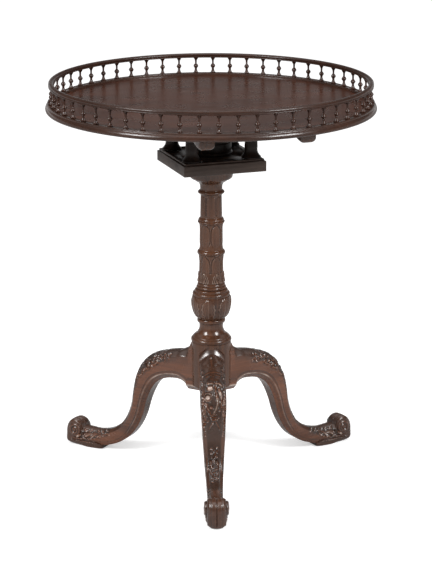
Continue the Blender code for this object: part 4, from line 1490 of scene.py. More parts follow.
    def section(
        self, reach: np.ndarray, half: np.ndarray, length: np.ndarray
    ) -> tuple[np.ndarray, np.ndarray]:
        """Half of the section at every station, from the top's middle down to the sole's.

        The root has a ridge along its top, the knee is rounded across, and the shin is flat with
        a sloping strip on each side.

        Args:
            reach: Reach above and below the centre line at each station.
            half: Half width at each station.
            length: Length along the top at each station.

        Returns:
            Distances across and up, by station and point.
        """
        knee = 1 - rise(length, *self.knee_end)[:, None]
        crown = np.interp(length, *zip(*self.crowns))[:, None]
        top, base = reach[:, :1], -reach[:, 1:]
        half = half[:, None]
        foot = rise(length, *self.foot_start)[:, None]
        chamfer = self.chamfer * (1 - 0.7 * foot)
        sole = np.minimum(self.sole_width / 2, 0.6 * half) * (1 - foot) + 0.9 * half * foot
        bow = np.linspace(0.0, 1.0, self.shoulder_rank + 1)[None, :]
        flat = np.clip(bow * self.shoulder_rank / self.flat_steps, 0.0, 1.0)
        strip = np.clip((bow * self.shoulder_rank - self.flat_steps) / self.strip_steps, 0.0, 1.0)
        side = np.linspace(0.0, 1.0, self.side_steps + 1)[None, 1:]
        slope = np.linspace(0.0, 1.0, self.slope_steps + 1)[None, 1:]
        under = np.linspace(0.0, 1.0, self.sole_steps + 1)[None, 1:]
        round_across = np.sin(bow * math.pi / 2)
        flat_across = self.shin_flat * flat + (1 - self.shin_flat) * strip
        relief, relief_start, relief_end = self.root_relief
        root = 1 - rise(length, *self.keel_end) - relief * (1 - rise(length, relief_start, relief_end))
        root = root[:, None]
        drop, drop_start, drop_reach = self.keel_shoulder
        ridge = self.keel_lean * (np.hypot(half * round_across, self.keel_blunt) - self.keel_blunt)
        ridge = ridge + drop * np.clip((half * round_across - drop_start) / drop_reach, 0.0, 1.0) ** 2
        fall = knee * (root * ridge + (1 - root) * crown * (1 - np.cos(bow * math.pi / 2)))
        fall = fall + (1 - knee) * (self.shin_crown * flat**2 + self.strip * strip)
        shoulder = top - fall[:, -1:]
        ones = np.ones_like(top)
        across = [
            half * (knee * round_across + (1 - knee) * flat_across),
            half + 0.0006 * np.sin(side * math.pi),
            half + (sole - half) * slope - 0.0010 * np.sin(slope * math.pi),
            sole * (1 - under),
        ]
        up = [
            top - fall,
            shoulder + (base + chamfer - shoulder) * side,
            base + chamfer * (1 - slope),
            base + 0 * under,
        ]
        across, up = (np.concatenate([ones * part for part in parts], 1) for parts in (across, up))
        return across, up

    def carving(self) -> list[Stroke | Boss]:
        """Carving of the leg, in millimetres along its top and across it.

        Returns:
            Strokes and lobes.
        """
        carving: list[Stroke | Boss] = [
            Boss((21, -2.7), 2.4, 2.0),
            Stroke(((24, -2.0), (34, -1.5), (46, -1.0)), 5.0, 0.5, 3.0),
        ]
        for radius, width, height in ((25.0, 6.0, 0.9), (17.0, 4.0, 0.4)):
            for way in (-1, 1):
                line = ((93, 2 + way * radius), (93 - radius, 2 + way * radius), (93 - radius, 2))
                carving.append(Stroke(line, width, height, width))
        for way in (-1, 1):
            carving += [
                Boss((112, way * 31.0), 4.8, 5.2),
                Boss((98, way * 29.0), 4.0, 4.8),
                Boss((86, way * 31.0), 3.6, 4.4),
                Stroke(((128, way * 29), (120, way * 37), (106, way * 38)), 4.6, 2.4, 2.4),
                Stroke(((104, way * 34), (92, way * 38), (78, way * 33)), 4.2, 2.2, 2.2),
                Stroke(((150, way * 26), (142, way * 32), (130, way * 33)), 4.0, 2.0, 2.0),
                Stroke(((126, way * 21), (160, way * 24), (198, way * 17)), 5.4, 2.6, 3.0),
                Stroke(((262, way * 13.5), (250, way * 16), (236, way * 14.5)), 4.4, 2.2, 2.0),
            ]
        carving += [
            Stroke(((99, -10.5), (97.5, -6.5), (99, -2.0)), 5.2, 5.4, 5.0),
            Stroke(((99, 4.5), (97.5, 8.5), (99, 12.5)), 5.2, 5.4, 5.0),
            Boss((109, -6.5), 7.0, 5.6),
            Stroke(((106, 3.0), (110, 5.0), (116, 3.0)), 4.0, 3.0, 3.0),
            Stroke(((100, 13.5), (102, 20.0), (114, 19.0)), 5.6, 5.4, 3.4),
            Boss((128, -11.5), 6.6, 6.6),
            Stroke(((127, -19.0), (118, -19.0), (118, -11.5), (119, -5.0), (127, -4.0)), 3.2, 4.8, 3.2),
            Stroke(((127, -19.0), (136, -19.0), (136, -11.5), (135, -6.0), (130, -5.0)), 3.2, 4.8, 2.4),
            Stroke(((113, 11.0), (126, 18.0), (148, 14.0)), 9.0, 5.8, 3.0),
            Stroke(((117, 4.5), (126, 8.0), (133, 9.0)), 4.4, 3.4, 2.6),
            Stroke(((122, 5.0), (140, 11.5), (152, 5.0), (163, -4.5)), 6.4, 5.8, 2.6),
            Stroke(((138, -15.0), (148, -13.0), (160, -6.0)), 8.0, 4.4, 3.0),
            Boss((147, -4.5), 3.6, 3.4),
            Stroke(((160, -8.0), (163, -2.0), (159, 3.5)), 2.4, 2.6, 1.8),
            Stroke(((164, -7.0), (167, 0.0), (163, 6.0)), 2.4, 2.6, 1.8),
            Stroke(((168, -5.0), (171, 1.0), (167, 7.0)), 2.4, 2.4, 1.8),
            Stroke(((172, -1.0), (178, -5.0), (186, -9.0)), 3.0, 1.6, 1.6),
            Stroke(((172, 3.0), (179, 7.0), (188, 11.0)), 3.0, 1.6, 1.6),
        ]
        carving += [
            Stroke(((224, 6.0), (231, 3.0), (237, -2.5)), 3.6, 3.6, 2.4),
            Stroke(((243, -7.0), (250, -8.5), (256, -5.0)), 5.6, 4.8, 4.0),
            Stroke(((243, 3.0), (249, 8.0), (258, 6.0)), 5.4, 4.8, 3.4),
            Stroke(((256, -8.5), (264, -8.5), (270, -3.5)), 6.0, 3.4, 3.4),
            Stroke(((262, 6.5), (270, 7.0), (276, 3.0)), 5.0, 3.0, 3.0),
        ]
        return carving

    def chips(self) -> list[Boss]:
        """Small uneven lobes that break up the carving, in millimetres along the top and across it.

        Returns:
            The lobes.
        """
        rng = np.random.default_rng(self.chip_seed)
        fields = (
            (46, (100, 173), (-18, 18), (1.2, 2.4), (0.5, 1.6)),
            (14, (72, 94), (-14, 14), (3.0, 5.0), (0.6, 1.2)),
            (70, (50, 136), (19, 33), (1.8, 3.4), (1.0, 2.6)),
            (70, (50, 136), (-33, -19), (1.8, 3.4), (1.0, 2.6)),
            (30, (126, 182), (17, 24), (1.8, 3.4), (1.4, 3.0)),
            (30, (126, 182), (-24, -17), (1.8, 3.4), (1.4, 3.0)),
            (12, (100, 122), (21, 26), (2.4, 3.6), (2.0, 3.4)),
            (12, (100, 122), (-26, -21), (2.4, 3.6), (2.0, 3.4)),
            (44, (216, 286), (-6, 6), (1.2, 2.4), (0.8, 2.6)),
            (34, (300, 352), (10, 22), (1.6, 3.2), (1.0, 2.4)),
            (34, (300, 352), (-22, -10), (1.6, 3.2), (1.0, 2.4)),
        )
        return [
            Boss((rng.uniform(*along), rng.uniform(*across)), rng.uniform(*radius), rng.uniform(*height))
            for count, along, across, radius, height in fields
            for _ in range(count)
        ]

    def body_mesh(self) -> bpy.types.Mesh:
        """Sweep of the leg with its carving, in the plane of +X and Z.

        Returns:
            The mesh.
        """
        centre, up, reach, half, length = self.stations()
        centre = np.concatenate((centre[:1] * (0.5, 1.0), centre))
        up = np.concatenate((((0.0, 1.0),), up))
        up[1] = (0.0, 1.0)
        reach, half = (np.concatenate((values[:1], values)) for values in (reach, half))
        length = np.concatenate(((-self.root_sink,), length))
        across, rise_up = self.section(reach, half, length)
        steps = (np.diff(across, axis=1, prepend=0.0), np.diff(rise_up, axis=1, prepend=rise_up[:, :1]))
        girth = np.cumsum(np.hypot(*steps), 1)
        across = np.concatenate((-across[:, ::-1], across[:, 1:]), 1)
        rise_up = np.concatenate((rise_up[:, ::-1], rise_up[:, 1:]), 1)
        girth = np.concatenate((-girth[:, ::-1], girth[:, 1:]), 1) * MILLIMETRES
        plane = centre[:, None, :] + up[:, None, :] * rise_up[:, :, None]
        places = np.stack((plane[:, :, 0], across, plane[:, :, 1]), axis=2)
        normals = surface_normals(places)
        along = (length[:, None] - self.carving_start) * MILLIMETRES * np.ones_like(girth)
        main = highest(self.carving(), along, girth)
        fine = highest(self.chips(), along, girth)
        height = self.with_edges(main + fine, along, places, normals)
        tone = self.leg_tone(main, height, along, girth)
        places = places + normals * height[:, :, None]
        return Piece.wrapped("leg_sweep", places, np.clip(tone, 0.06, 1.0), merge=1e-6)

    def ranks(self, columns: int) -> np.ndarray:
        """Place of each column of the sweep, counted from the middle of the top."""
        return np.abs(np.arange(columns) - columns // 2)[None, :]

    def with_edges(
        self, height: np.ndarray, along: np.ndarray, places: np.ndarray, normals: np.ndarray
    ) -> np.ndarray:
        """Add the leaf on the side of the foot and the arris over the sole to the carving.

        Args:
            height: Height of the carving, in metres.
            along: Millimetres along the top of each point.
            places: The points of the plain leg.
            normals: Directions outwards at the points.

        Returns:
            Height of all carving, in metres.
        """
        x, z = places[:, :, 0], places[:, :, 2]
        flank = np.clip(np.abs(normals[:, :, 1]) * 2 - 0.6, 0.0, 1.0) * rise(x, *self.leaf_start)
        leaf = highest(self.side_leaf(), x * MILLIMETRES, z * MILLIMETRES)
        rank = self.ranks(height.shape[1])
        near = np.abs(rank - self.arris_rank)
        arris = self.arris_lift[0] * (near == 0) + self.arris_lift[1] * (near == 1)
        arris = arris - self.groove_depth * (rank == self.groove_rank)
        return np.maximum(height, leaf * flank) + arris * window(along, self.arris_span)

    def leg_tone(
        self, main: np.ndarray, height: np.ndarray, along: np.ndarray, girth: np.ndarray
    ) -> np.ndarray:
        """Tone of the leg: painted shade on its tops, upper flanks and sole, painted shade and highlight in
        the carving, a painted highlight along the arris and painted shade in the groove.

        Args:
            main: Height of the main leaves, in metres.
            height: Height of all carving, in metres.
            along: Millimetres along the top of each point.
            girth: Millimetres round the section of each point.

        Returns:
            The tone, as a relief.
        """
        rank = self.ranks(height.shape[1])
        top = rank <= self.flat_steps
        strip = (rank > self.flat_steps) & (rank <= self.shoulder_rank)
        shin = window(along, self.shin_span)
        knee = window(along, self.knee_span) * (1 - shin)
        band = window(along, self.band_span) * (np.abs(girth) < self.band_half)
        leaf = rise(along, *self.instep_start) * (rank <= self.shoulder_rank + 4)
        # Painted shade: the tops of the shin and knee, the carved band, the instep and the shin's strips are
        # made darker.
        dark = 0.36 * shin * top + 0.30 * knee * np.clip((38 - rank) / 12, 0.0, 1.0)
        dark = np.maximum(dark, 0.24 * np.maximum(band, leaf))
        dark = dark + 0.24 * shin * strip * rise(along, *self.strip_start)
        # Painted shade on the sole, from the sole rank down.
        ground = PLAIN_RELIEF - dark - 0.20 * (rank >= self.sole_rank)
        # Painted shade in the carving's hollows and painted highlight on its crests, with more painted
        # highlight on the tallest leaves.
        carving = (height - blurred(height, 3, 3, False)) * self.carving_tone
        bright = np.clip(main - self.bright_height, 0.0, self.bright_height) * self.bright_tone
        tone = np.minimum(ground + carving, 0.70) + bright
        # Painted highlight along the arris, fading along the leg, and painted shade in the groove above it.
        arris = np.maximum(tone, 0.95 - 0.4 * rise(along, *self.arris_fade))
        tone = np.where(rank == self.arris_rank, arris, tone)
        return np.where(rank == self.groove_rank, 0.2, tone)

    def ear_mesh(self, side: int) -> bpy.types.Mesh:
        """End of the scroll: a disc with a carved spiral round a boss.

        Args:
            side: 1 for the end on +Y, -1 for the other.

        Returns:
            The mesh.
        """
        end = self.scroll_width / 2
        inner = self.toe_width / 2 - 0.003
        bend = self.scroll_round
        face = np.linspace(0.0, self.scroll_radius - bend, 20)
        corner = np.linspace(0.1, 1.0, 9) * math.pi / 2
        edge = np.linspace(end - bend, inner, 4)[1:]
        bent = self.scroll_radius - bend + bend * np.sin(corner)
        radius = np.concatenate((face, bent, np.full(len(edge), self.scroll_radius)))
        across = np.concatenate((np.full(len(face), end), end - bend * (1 - np.cos(corner)), edge))
        turn = np.linspace(0.0, 2 * math.pi, 97)[None, :] * np.ones((len(radius), 1))
        radius = radius[:, None] * np.ones_like(turn)
        across = across[:, None] * np.ones_like(turn)
        spiral = 0.5 + 0.5 * np.cos(2 * math.pi * radius / self.spiral_pitch - turn)
        ring = rise(self.scroll_radius - radius, 0.0022, 0.0050) * rise(radius, 0.0026, self.eye_radius)
        dish = self.spiral_depth * spiral * ring
        eye = self.eye_height * np.sqrt(np.clip(1 - (radius / self.eye_radius) ** 2, 0.0, 1.0))
        lift = eye - dish
        x = self.scroll_centre[0] + radius * np.cos(turn)
        z = self.scroll_centre[1] + radius * np.sin(turn)
        # Darker than the leg all over, with painted shade in the spiral and painted highlight on its ridges
        # and the eye.
        tone = 0.26 + (lift - blurred(lift, 3, 1)) * 520 - dish * 40
        places = np.stack((x, side * (across + lift), z), axis=2)
        return Piece.wrapped("foot_ear", places, np.clip(tone, 0.05, 1.0), merge=2e-6)

    def side_leaf(self) -> list[Stroke]:
        """Leaf on the side of the foot, in millimetres of radius and height.

        Returns:
            Strokes of the leaf.
        """
        return [
            Stroke(((298, 14.0), (280, 13.5), (262, 16.0), (244, 19.0)), 4.6, 3.4, 2.4),
            Stroke(((288, 17.0), (278, 24.0), (262, 27.5)), 7.0, 5.6, 3.6),
            Stroke(((272, 19.0), (261, 26.5), (246, 29.5)), 6.8, 5.2, 3.2),
            Stroke(((257, 21.0), (247, 28.0), (234, 32.0)), 6.0, 4.2, 2.6),
            Stroke(((244, 22.5), (236, 29.0), (226, 34.0)), 5.0, 3.2, 2.2),
            Stroke(((302, 10.2), (270, 9.6), (236, 9.4)), 2.6, 2.8, 2.2),
        ]

    def foot_mesh(self) -> bpy.types.Mesh:
        """Foot under the scroll, reeded over its top and down its front, with a leaf on each side.

        Returns:
            The mesh.
        """
        outline = smooth_loop(np.array(self.foot_outline), self.foot_steps)
        outline[:, 1] = np.maximum(outline[:, 1], 0.0)
        half = self.toe_width / 2
        face = np.linspace(0.0, 1.0, 21)[:-1]
        across = np.linspace(-1.0, 1.0, 75)
        across = half * np.sin(across * math.pi / 2) * 0.35 + half * across * 0.65
        scale = np.concatenate((face, np.ones(len(across)), face[::-1]))
        y = np.concatenate((np.full(len(face), -half), across, np.full(len(face), half)))
        over = np.clip((np.abs(y) - half + self.toe_round) / self.toe_round, 0.0, 1.0)
        inset = self.toe_round * (1 - np.sqrt(1 - over**2))
        middle = np.array(self.foot_middle)
        way = outline - middle
        reach = np.hypot(way[:, 0], way[:, 1])
        spread = scale[:, None] * (1 - inset[:, None] / reach[None, :])
        x = middle[0] + way[None, :, 0] * spread
        z = middle[1] + way[None, :, 1] * spread
        rim = scale[:, None] == 1.0
        z = np.where((outline[None, :, 1] < 0.0009) & rim, outline[None, :, 1], z)
        low = 1 - rise(z, 0.0, 0.008)
        toe = rise(x, *self.toe_reach)
        heel = 1 - rise(x, *self.heel_reach)
        grid_y = y[:, None] * (1 - 0.14 * low**2 * toe - 0.12 * heel)
        side = np.abs(y[:, None] / half)
        x = x - (0.0030 + 0.0060 * low) * rise(x, *self.front_reach) * side**2
        z = z + 0.0012 * low * toe * rise(side, 0.6, 1.0)
        crest = rise(outline[:, 0], *self.reed_start)[None, :] * rise(z, 0.002, 0.006) * rim
        uneven = self.reed_depth * (0.6 + 0.4 * np.sin(y[:, None] * 610.0 + 1.1))
        groove, groove_width = self.middle_groove
        reed = uneven * np.abs(np.cos(y[:, None] / self.reed_pitch * math.pi)) ** 3 * (side < 0.92)
        reed = (reed + groove * np.exp(-((y[:, None] / groove_width) ** 2))) * crest
        out = np.stack((way[:, 0] / reach, way[:, 1] / reach), 1)
        x = x - out[None, :, 0] * reed
        z = np.maximum(z - out[None, :, 1] * reed, 0.0)
        leaf = highest(self.side_leaf(), x * MILLIMETRES, z * MILLIMETRES)
        leaf = leaf * ((scale > 0.0) & (scale < 1.0))[:, None]
        grid_y = grid_y + np.sign(grid_y) * leaf
        height = leaf - reed
        # Darker than the leg all over, with painted shade in hollows and painted highlight on crests of the
        # reeds and the side leaf.
        tone = 0.24 + (height - blurred(height, 2, 2)) * np.where(height > 0, 420, 190)
        places = np.stack((x, grid_y, z), axis=2)
        return Piece.wrapped("foot_block", places, np.clip(tone, 0.05, 1.0), merge=2e-6)

    def dress(self) -> list[bpy.types.Object]:
        """Build and finish the three legs.

        Returns:
            The objects.
        """
        parts = [self.body_mesh(), self.foot_mesh(), self.ear_mesh(-1), self.ear_mesh(1)]
        mesh = Piece.join("carved_leg", parts)
        legs = []
        for index, name in enumerate(self.names):
            leg = Piece.finish(
                f"carved_leg_{name}",
                mesh.copy(),
                self.finishes.legs,
                Slot.MAHOGANY,
                Body.BASE,
                [f"leg_{name}"],
                Grain.ALONG_X,
                52.0,
                self.yaw + index * 2 * math.pi / len(self.names),
            )
            legs.append(leg)
        bpy.data.meshes.remove(mesh)
        return legs


@dataclass
class Birdcage:
    """Plate, colonnettes, collar and block that carry the top."""

    finishes: Finishes
    column_reach: float = 0.0562
    column_sides: int = 48
    field_z: float = 0.6056
    block_z: float = 0.6608
    collar_z: float = 0.606
    collar_rise: float = 0.028
    collar_radius: float = 0.0378
    collar_sides: int = 96
    bore_radius: float = 0.0178
    joint: float = 0.0003
    dowel_radius: float = 0.0080
    dowel_length: float = 0.0080
    plate_round: float = 0.0012
    block_round: float = 0.0010
    wedge_round: float = 0.0005
    turning_step: float = 0.002

    def colonnette(self) -> bpy.types.Mesh:
        """Turned colonnette with a moulded base and head.

        Returns:
            The mesh, standing on its own axis.
        """
        low = self.field_z + self.joint
        high = self.block_z - self.joint
        dowel = self.dowel_radius
        cuts = (
            (low, dowel, 0.0),
            (low, 0.0176, 0.0),
            (low + 0.0022, 0.0178, 0.0003),
            (low + 0.0026, 0.0170, 0.0),
            (low + 0.0200, 0.0119, -0.0024),
            (high - 0.0075, 0.0106, 0.0),
            (high - 0.0055, 0.0110, 0.0009),
            (high - 0.0012, 0.0134, -0.0006),
            (high, 0.0134, 0.0),
            (high, dowel, 0.0),
            (high + self.dowel_length, dowel, 0.0),
        )
        outline = turning((dowel, low - self.dowel_length), cuts, self.turning_step)
        return Piece.turned("colonnette", outline, self.column_sides)

    def collar(self) -> bpy.types.Mesh:
        """Collar round the tenon, with a sunk band between two beads.

        Returns:
            The mesh.
        """
        low = self.collar_z
        high = low + self.collar_rise
        bead = self.collar_radius - 0.0004
        band = self.collar_radius - 0.0014
        corner = self.collar_radius - 0.0016
        cuts = (
            (low + 0.0006, bead, 0.0),
            (low + 0.0060, bead, 0.0014),
            (low + 0.0070, band, 0.0),
            (low + 0.0210, band, 0.0008),
            (low + 0.0220, bead, 0.0),
            (high - 0.0006, bead, 0.0014),
            (high, corner, 0.0),
            (high, self.bore_radius, 0.0),
        )
        outline = turning((corner, low), cuts, self.turning_step)
        return Piece.turned("collar", outline + [(self.bore_radius, low)], self.collar_sides, True)

    def dress(self) -> list[bpy.types.Object]:
        """Build and finish the birdcage.

        Returns:
            The objects.
        """
        cage = self.finishes.cage
        dark = Slot.DARK_MAHOGANY
        plate = Piece.softened("plate", "cage_lower_plate", self.plate_round, 0.05)
        block = Piece.softened("block", "cage_upper_block", self.block_round, 0.05)
        wedge = Piece.softened("wedge", "cage_wedge", self.wedge_round, 0.004, 2)
        pieces = []
        for name, mesh, wood, body, node, grain in (
            ("cage_plate", plate, self.finishes.plate, Body.BIRDCAGE, "cage_lower_plate", Grain.ALONG_X),
            ("cage_block", block, cage, Body.BIRDCAGE, "cage_upper_block", Grain.ALONG_X),
            ("collar", self.collar(), cage, Body.BASE, "cage_collar", Grain.ALONG_Z),
            ("collar_wedge", wedge, cage, Body.BASE, "cage_wedge", Grain.ALONG_X),
        ):
            pieces.append(Piece.finish(name, mesh, wood, dark, body, [node], grain))
        for end, y in (("front", -1), ("back", 1)):
            for side, x in (("left", -1), ("right", 1)):
                mesh = self.colonnette()
                mesh.transform(Matrix.Translation((x * self.column_reach, y * self.column_reach, 0.0)))
                node = f"colonnette_{end}_{side}"
                column = Piece.finish(
                    f"turned_{node}", mesh, cage, dark, Body.BIRDCAGE, [node], Grain.ALONG_Z
                )
                pieces.append(column)
        return pieces


@dataclass
class Top:
    """Round board with its rim, bearers and spindled gallery."""

    finishes: Finishes
    board_low: float = 0.68145
    board_high: float = 0.69845
    board_radius: float = 0.2815
    under_bevel: float = 0.034
    edge: float = 0.0105
    ledge_z: float = 0.70215
    rim_inner: float = 0.2818
    rim_sides: int = 220
    gallery_radius: float = 0.2874
    spindle_count: int = 55
    stretches: int = 11
    phase: float = math.radians(4.5)
    spindle_sides: int = 14
    rail_low: float = 0.73185
    rail_high: float = 0.73995
    rail_half: float = 0.0049
    bearer_flat: float = 0.098
    bearer_reach: float = 0.2445
    bearer_round: float = 0.0075
    bearer_corner: float = 0.0195
    bearer_drops: tuple[Point, ...] = (
        (0.0980, 0.0255),
        (0.1040, 0.0253),
        (0.1250, 0.0210),
        (0.1500, 0.0155),
        (0.1750, 0.0115),
        (0.1960, 0.0094),
        (0.2060, 0.0096),
        (0.2160, 0.0116),
        (0.2260, 0.0142),
        (0.2340, 0.0155),
        (0.2445, 0.0152),
    )
    nose_round: float = 0.0085
    nose_start: Point = (0.205, 0.225)
    nose_swell: float = 0.0016
    rail_steps: int = 20

    def board(self) -> bpy.types.Mesh:
        """Round board, thinned underneath towards its edge.

        Returns:
            The mesh.
        """
        outline = [
            (0.0, self.board_low),
            (self.board_radius - self.under_bevel - 0.002, self.board_low),
            (self.board_radius - self.under_bevel, self.board_low + 0.0002),
            (self.board_radius - 0.0006, self.board_high - self.edge),
            (self.board_radius, self.board_high - self.edge + 0.0006),
            (self.board_radius, self.board_high - 0.0008),
            (self.board_radius - 0.0008, self.board_high),
            (0.0, self.board_high),
        ]
        return Piece.turned("board", outline, self.rim_sides)

    def rim(self) -> bpy.types.Mesh:
        """Rim moulding: a ledge with a fine lip, and an ogee outside it.

        Returns:
            The mesh.
        """
        ogee = [
            (0.2960, 0.68815),
            (0.2972, 0.68860),
            (0.2980, 0.68960),
            (0.2984, 0.69080),
            (0.2985, 0.69190),
            (0.2983, 0.69320),
            (0.2979, 0.69450),
            (0.2972, 0.69610),
            (0.2963, 0.69740),
            (0.2954, 0.69830),
            (0.2949, 0.69915),
            (0.2948, 0.69960),
            (0.2950, 0.70010),
            (0.2950, 0.70090),
            (0.2946, 0.70155),
            (0.2938, 0.70205),
            (0.2930, 0.70215),
        ]
        ledge = [
            (0.2924, 0.70180),
            (0.2830, 0.70180),
            (0.2824, 0.70215),
            (0.2820, 0.70190),
            (self.rim_inner, 0.70120),
            (self.rim_inner, 0.68815),
        ]
        return Piece.turned("rim", ogee + ledge, self.rim_sides, True)

    def bearer_end(self, node: str, side: int) -> bpy.types.Mesh:
        """One end of a bearer, thinned towards a full rounded nose.

        Args:
            node: CAD node that the end belongs to.
            side: 1 for the end on +Y, -1 for the other.

        Returns:
            The mesh.
        """
        low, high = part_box(node)
        middle, half = (low[0] + high[0]) / 2, (high[0] - low[0]) / 2
        quarter = np.linspace(0.02, 1.0, 12) * math.pi / 2
        nose = self.bearer_reach - self.nose_round * (1 - np.cos(quarter))[::-1]
        y = np.concatenate((np.linspace(self.bearer_flat, nose[0], 60)[:-1], nose))
        depth = smoothed(np.interp(y, *zip(*self.bearer_drops)), 4)
        short = np.clip(1 - (self.bearer_reach - y) / self.nose_round, 0.0, 1.0)
        depth = depth - self.nose_round * 0.9 * (1 - np.sqrt(1 - short**2))
        inset = 0.0012 * short**2 - self.nose_swell * rise(y, *self.nose_start)
        bend = np.linspace(0.0, 1.0, 9) * math.pi / 2
        radius = self.bearer_round
        across = np.concatenate(((-1.0, -1.0), -1.0 + radius / half * (1 - np.cos(bend)), (0.0,)))
        drop = np.concatenate(((0.0, 0.4), 1.0 - radius / self.bearer_corner * (1 - np.sin(bend)), (1.0,)))
        across = np.concatenate((across, -across[-2::-1], across[:1]))
        drop = np.concatenate((drop, drop[-2::-1], drop[:1]))
        x = middle + across[None, :] * (half - inset)[:, None]
        z = high[2] - drop[None, :] * depth[:, None]
        places = np.stack((x, side * y[:, None] * np.ones_like(x), z), axis=2)
        return Piece.wrapped(node, places, np.full(x.shape, PLAIN_RELIEF))

    def bearer(self, node: str) -> bpy.types.Mesh:
        """Bearer: its bored middle and its two shaped ends.

        Args:
            node: CAD node to copy the middle of.

        Returns:
            The mesh.
        """
        bm = bmesh.new()
        bm.from_mesh(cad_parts[node].data)
        bmesh.ops.remove_doubles(bm, verts=bm.verts, dist=1e-5)
        for side in (-1, 1):
            bmesh.ops.bisect_plane(
                bm,
                geom=bm.verts[:] + bm.edges[:] + bm.faces[:],
                plane_co=(0, side * self.bearer_flat, 0),
                plane_no=(0, side, 0),
                clear_outer=True,
            )
        middle = Piece.close(bm, node)
        return Piece.join(node, [middle, self.bearer_end(node, -1), self.bearer_end(node, 1)])

    def spindle(self) -> bpy.types.Mesh:
        """One turned spindle with a flared foot, a bulb and a flared head.

        Returns:
            The mesh, standing on its own axis.
        """
        low = self.ledge_z - 0.0003
        cuts = (
            (low + 0.0014, 0.0052, 0.0003),
            (low + 0.0036, 0.0034, -0.0005),
            (low + 0.0085, 0.0021, -0.0003),
            (low + 0.0100, 0.0023, 0.0003),
            (low + 0.0128, 0.0043, 0.0003),
            (low + 0.0146, 0.0043, 0.0004),
            (low + 0.0176, 0.0023, 0.0004),
            (low + 0.0200, 0.0017, -0.0002),
            (low + 0.0228, 0.0018, 0.0),
            (low + 0.0272, 0.0034, -0.0005),
            (self.rail_low + 0.0004, 0.0052, -0.0002),
        )
        return Piece.turned("spindle", turning((0.0041, low), cuts, 0.0030), self.spindle_sides)

    def rail(self, sweep: float) -> bpy.types.Mesh:
        """Stretch of the gallery's rail, centred on +X.

        Args:
            sweep: Angle that the stretch covers.

        Returns:
            The mesh.
        """
        half = self.rail_half
        low = self.rail_low
        side = [
            (half - 0.0010, low),
            (half - 0.0003, low + 0.0003),
            (half, low + 0.0011),
            (half - 0.0003, low + 0.0019),
            (half - 0.0009, low + 0.0024),
            (half - 0.0009, low + 0.0030),
            (half - 0.0002, low + 0.0036),
            (half, low + 0.0046),
            (half - 0.0003, low + 0.0058),
            (half - 0.0011, low + 0.0070),
            (half - 0.0023, low + 0.0078),
            (half - 0.0036, self.rail_high),
        ]
        outline = side + [(-offset, z) for offset, z in reversed(side)]
        bm = bmesh.new()
        verts = [bm.verts.new((self.gallery_radius + offset, 0.0, z)) for offset, z in outline]
        edges = [bm.edges.new((vert, verts[index - 1])) for index, vert in enumerate(verts)]
        bmesh.ops.rotate(bm, verts=verts, cent=(0, 0, 0), matrix=Matrix.Rotation(-sweep / 2, 3, "Z"))
        bmesh.ops.spin(
            bm,
            geom=verts + edges,
            cent=(0, 0, 0),
            axis=(0, 0, 1),
            angle=sweep,
            steps=self.rail_steps,
        )
        return Piece.close(bm, "rail")

    def gallery_stretch(self) -> bpy.types.Mesh:
        """One stretch of the gallery: a length of rail and its spindles.

        Returns:
            The mesh, centred on +X.
        """
        sweep = 2 * math.pi / self.stretches
        count = self.spindle_count // self.stretches
        meshes = [self.rail(sweep)]
        for index in range(count):
            spindle = self.spindle()
            turn = (index - (count - 1) / 2) * 2 * math.pi / self.spindle_count
            spindle.transform(Matrix.Rotation(turn, 4, "Z") @ Matrix.Translation((self.gallery_radius, 0, 0)))
            meshes.append(spindle)
        return Piece.join("gallery", meshes)

    def dress(self) -> list[bpy.types.Object]:
        """Build and finish the top.

        Returns:
            The objects.
        """
        woods = self.finishes
        kind = Slot.MAHOGANY
        body = Body.TOP
        pieces = []
        for name, mesh, wood, node, sharp in (
            ("round_board", self.board(), woods.top, "top_board", 40.0),
            ("rim_moulding", self.rim(), woods.rim, "top_rim", 50.0),
        ):
            pieces.append(Piece.finish(name, mesh, wood, kind, body, [node], Grain.ALONG_X, sharp))
        for node in ("bearer_left", "bearer_right"):
            mesh = self.bearer(node)
            name = f"shaped_{node}"
            pieces.append(Piece.finish(name, mesh, woods.carved, kind, body, [node], Grain.ALONG_Y))
        stretch = self.gallery_stretch()
        for index in range(self.stretches):
            turn = self.phase + index * 2 * math.pi / self.stretches
            node = f"gallery_{index + 1:02d}"
            name = f"spindled_{node}"
            wood = woods.gallery
            mesh = stretch.copy()
            pieces.append(Piece.finish(name, mesh, wood, kind, body, [node], Grain.ALONG_Y, 50.0, turn))
        bpy.data.meshes.remove(stretch)
        return pieces


@dataclass
class Fittings:
    """Iron and brass fittings, which keep their solids and get their metal."""

    finishes: Finishes

    def dress(self) -> None:
        """Give each fitting its metal."""
        for name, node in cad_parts.items():
            if name.startswith(("catch", "strike")):
                metal = self.finishes.brass
            elif name.startswith(("brace", "leg_brace", "bearer_screw")):
                metal = self.finishes.iron
            else:
                continue
            for slot in node.material_slots:
                slot.material = metal
            LOG.info("%s: %s", name, metal.name)


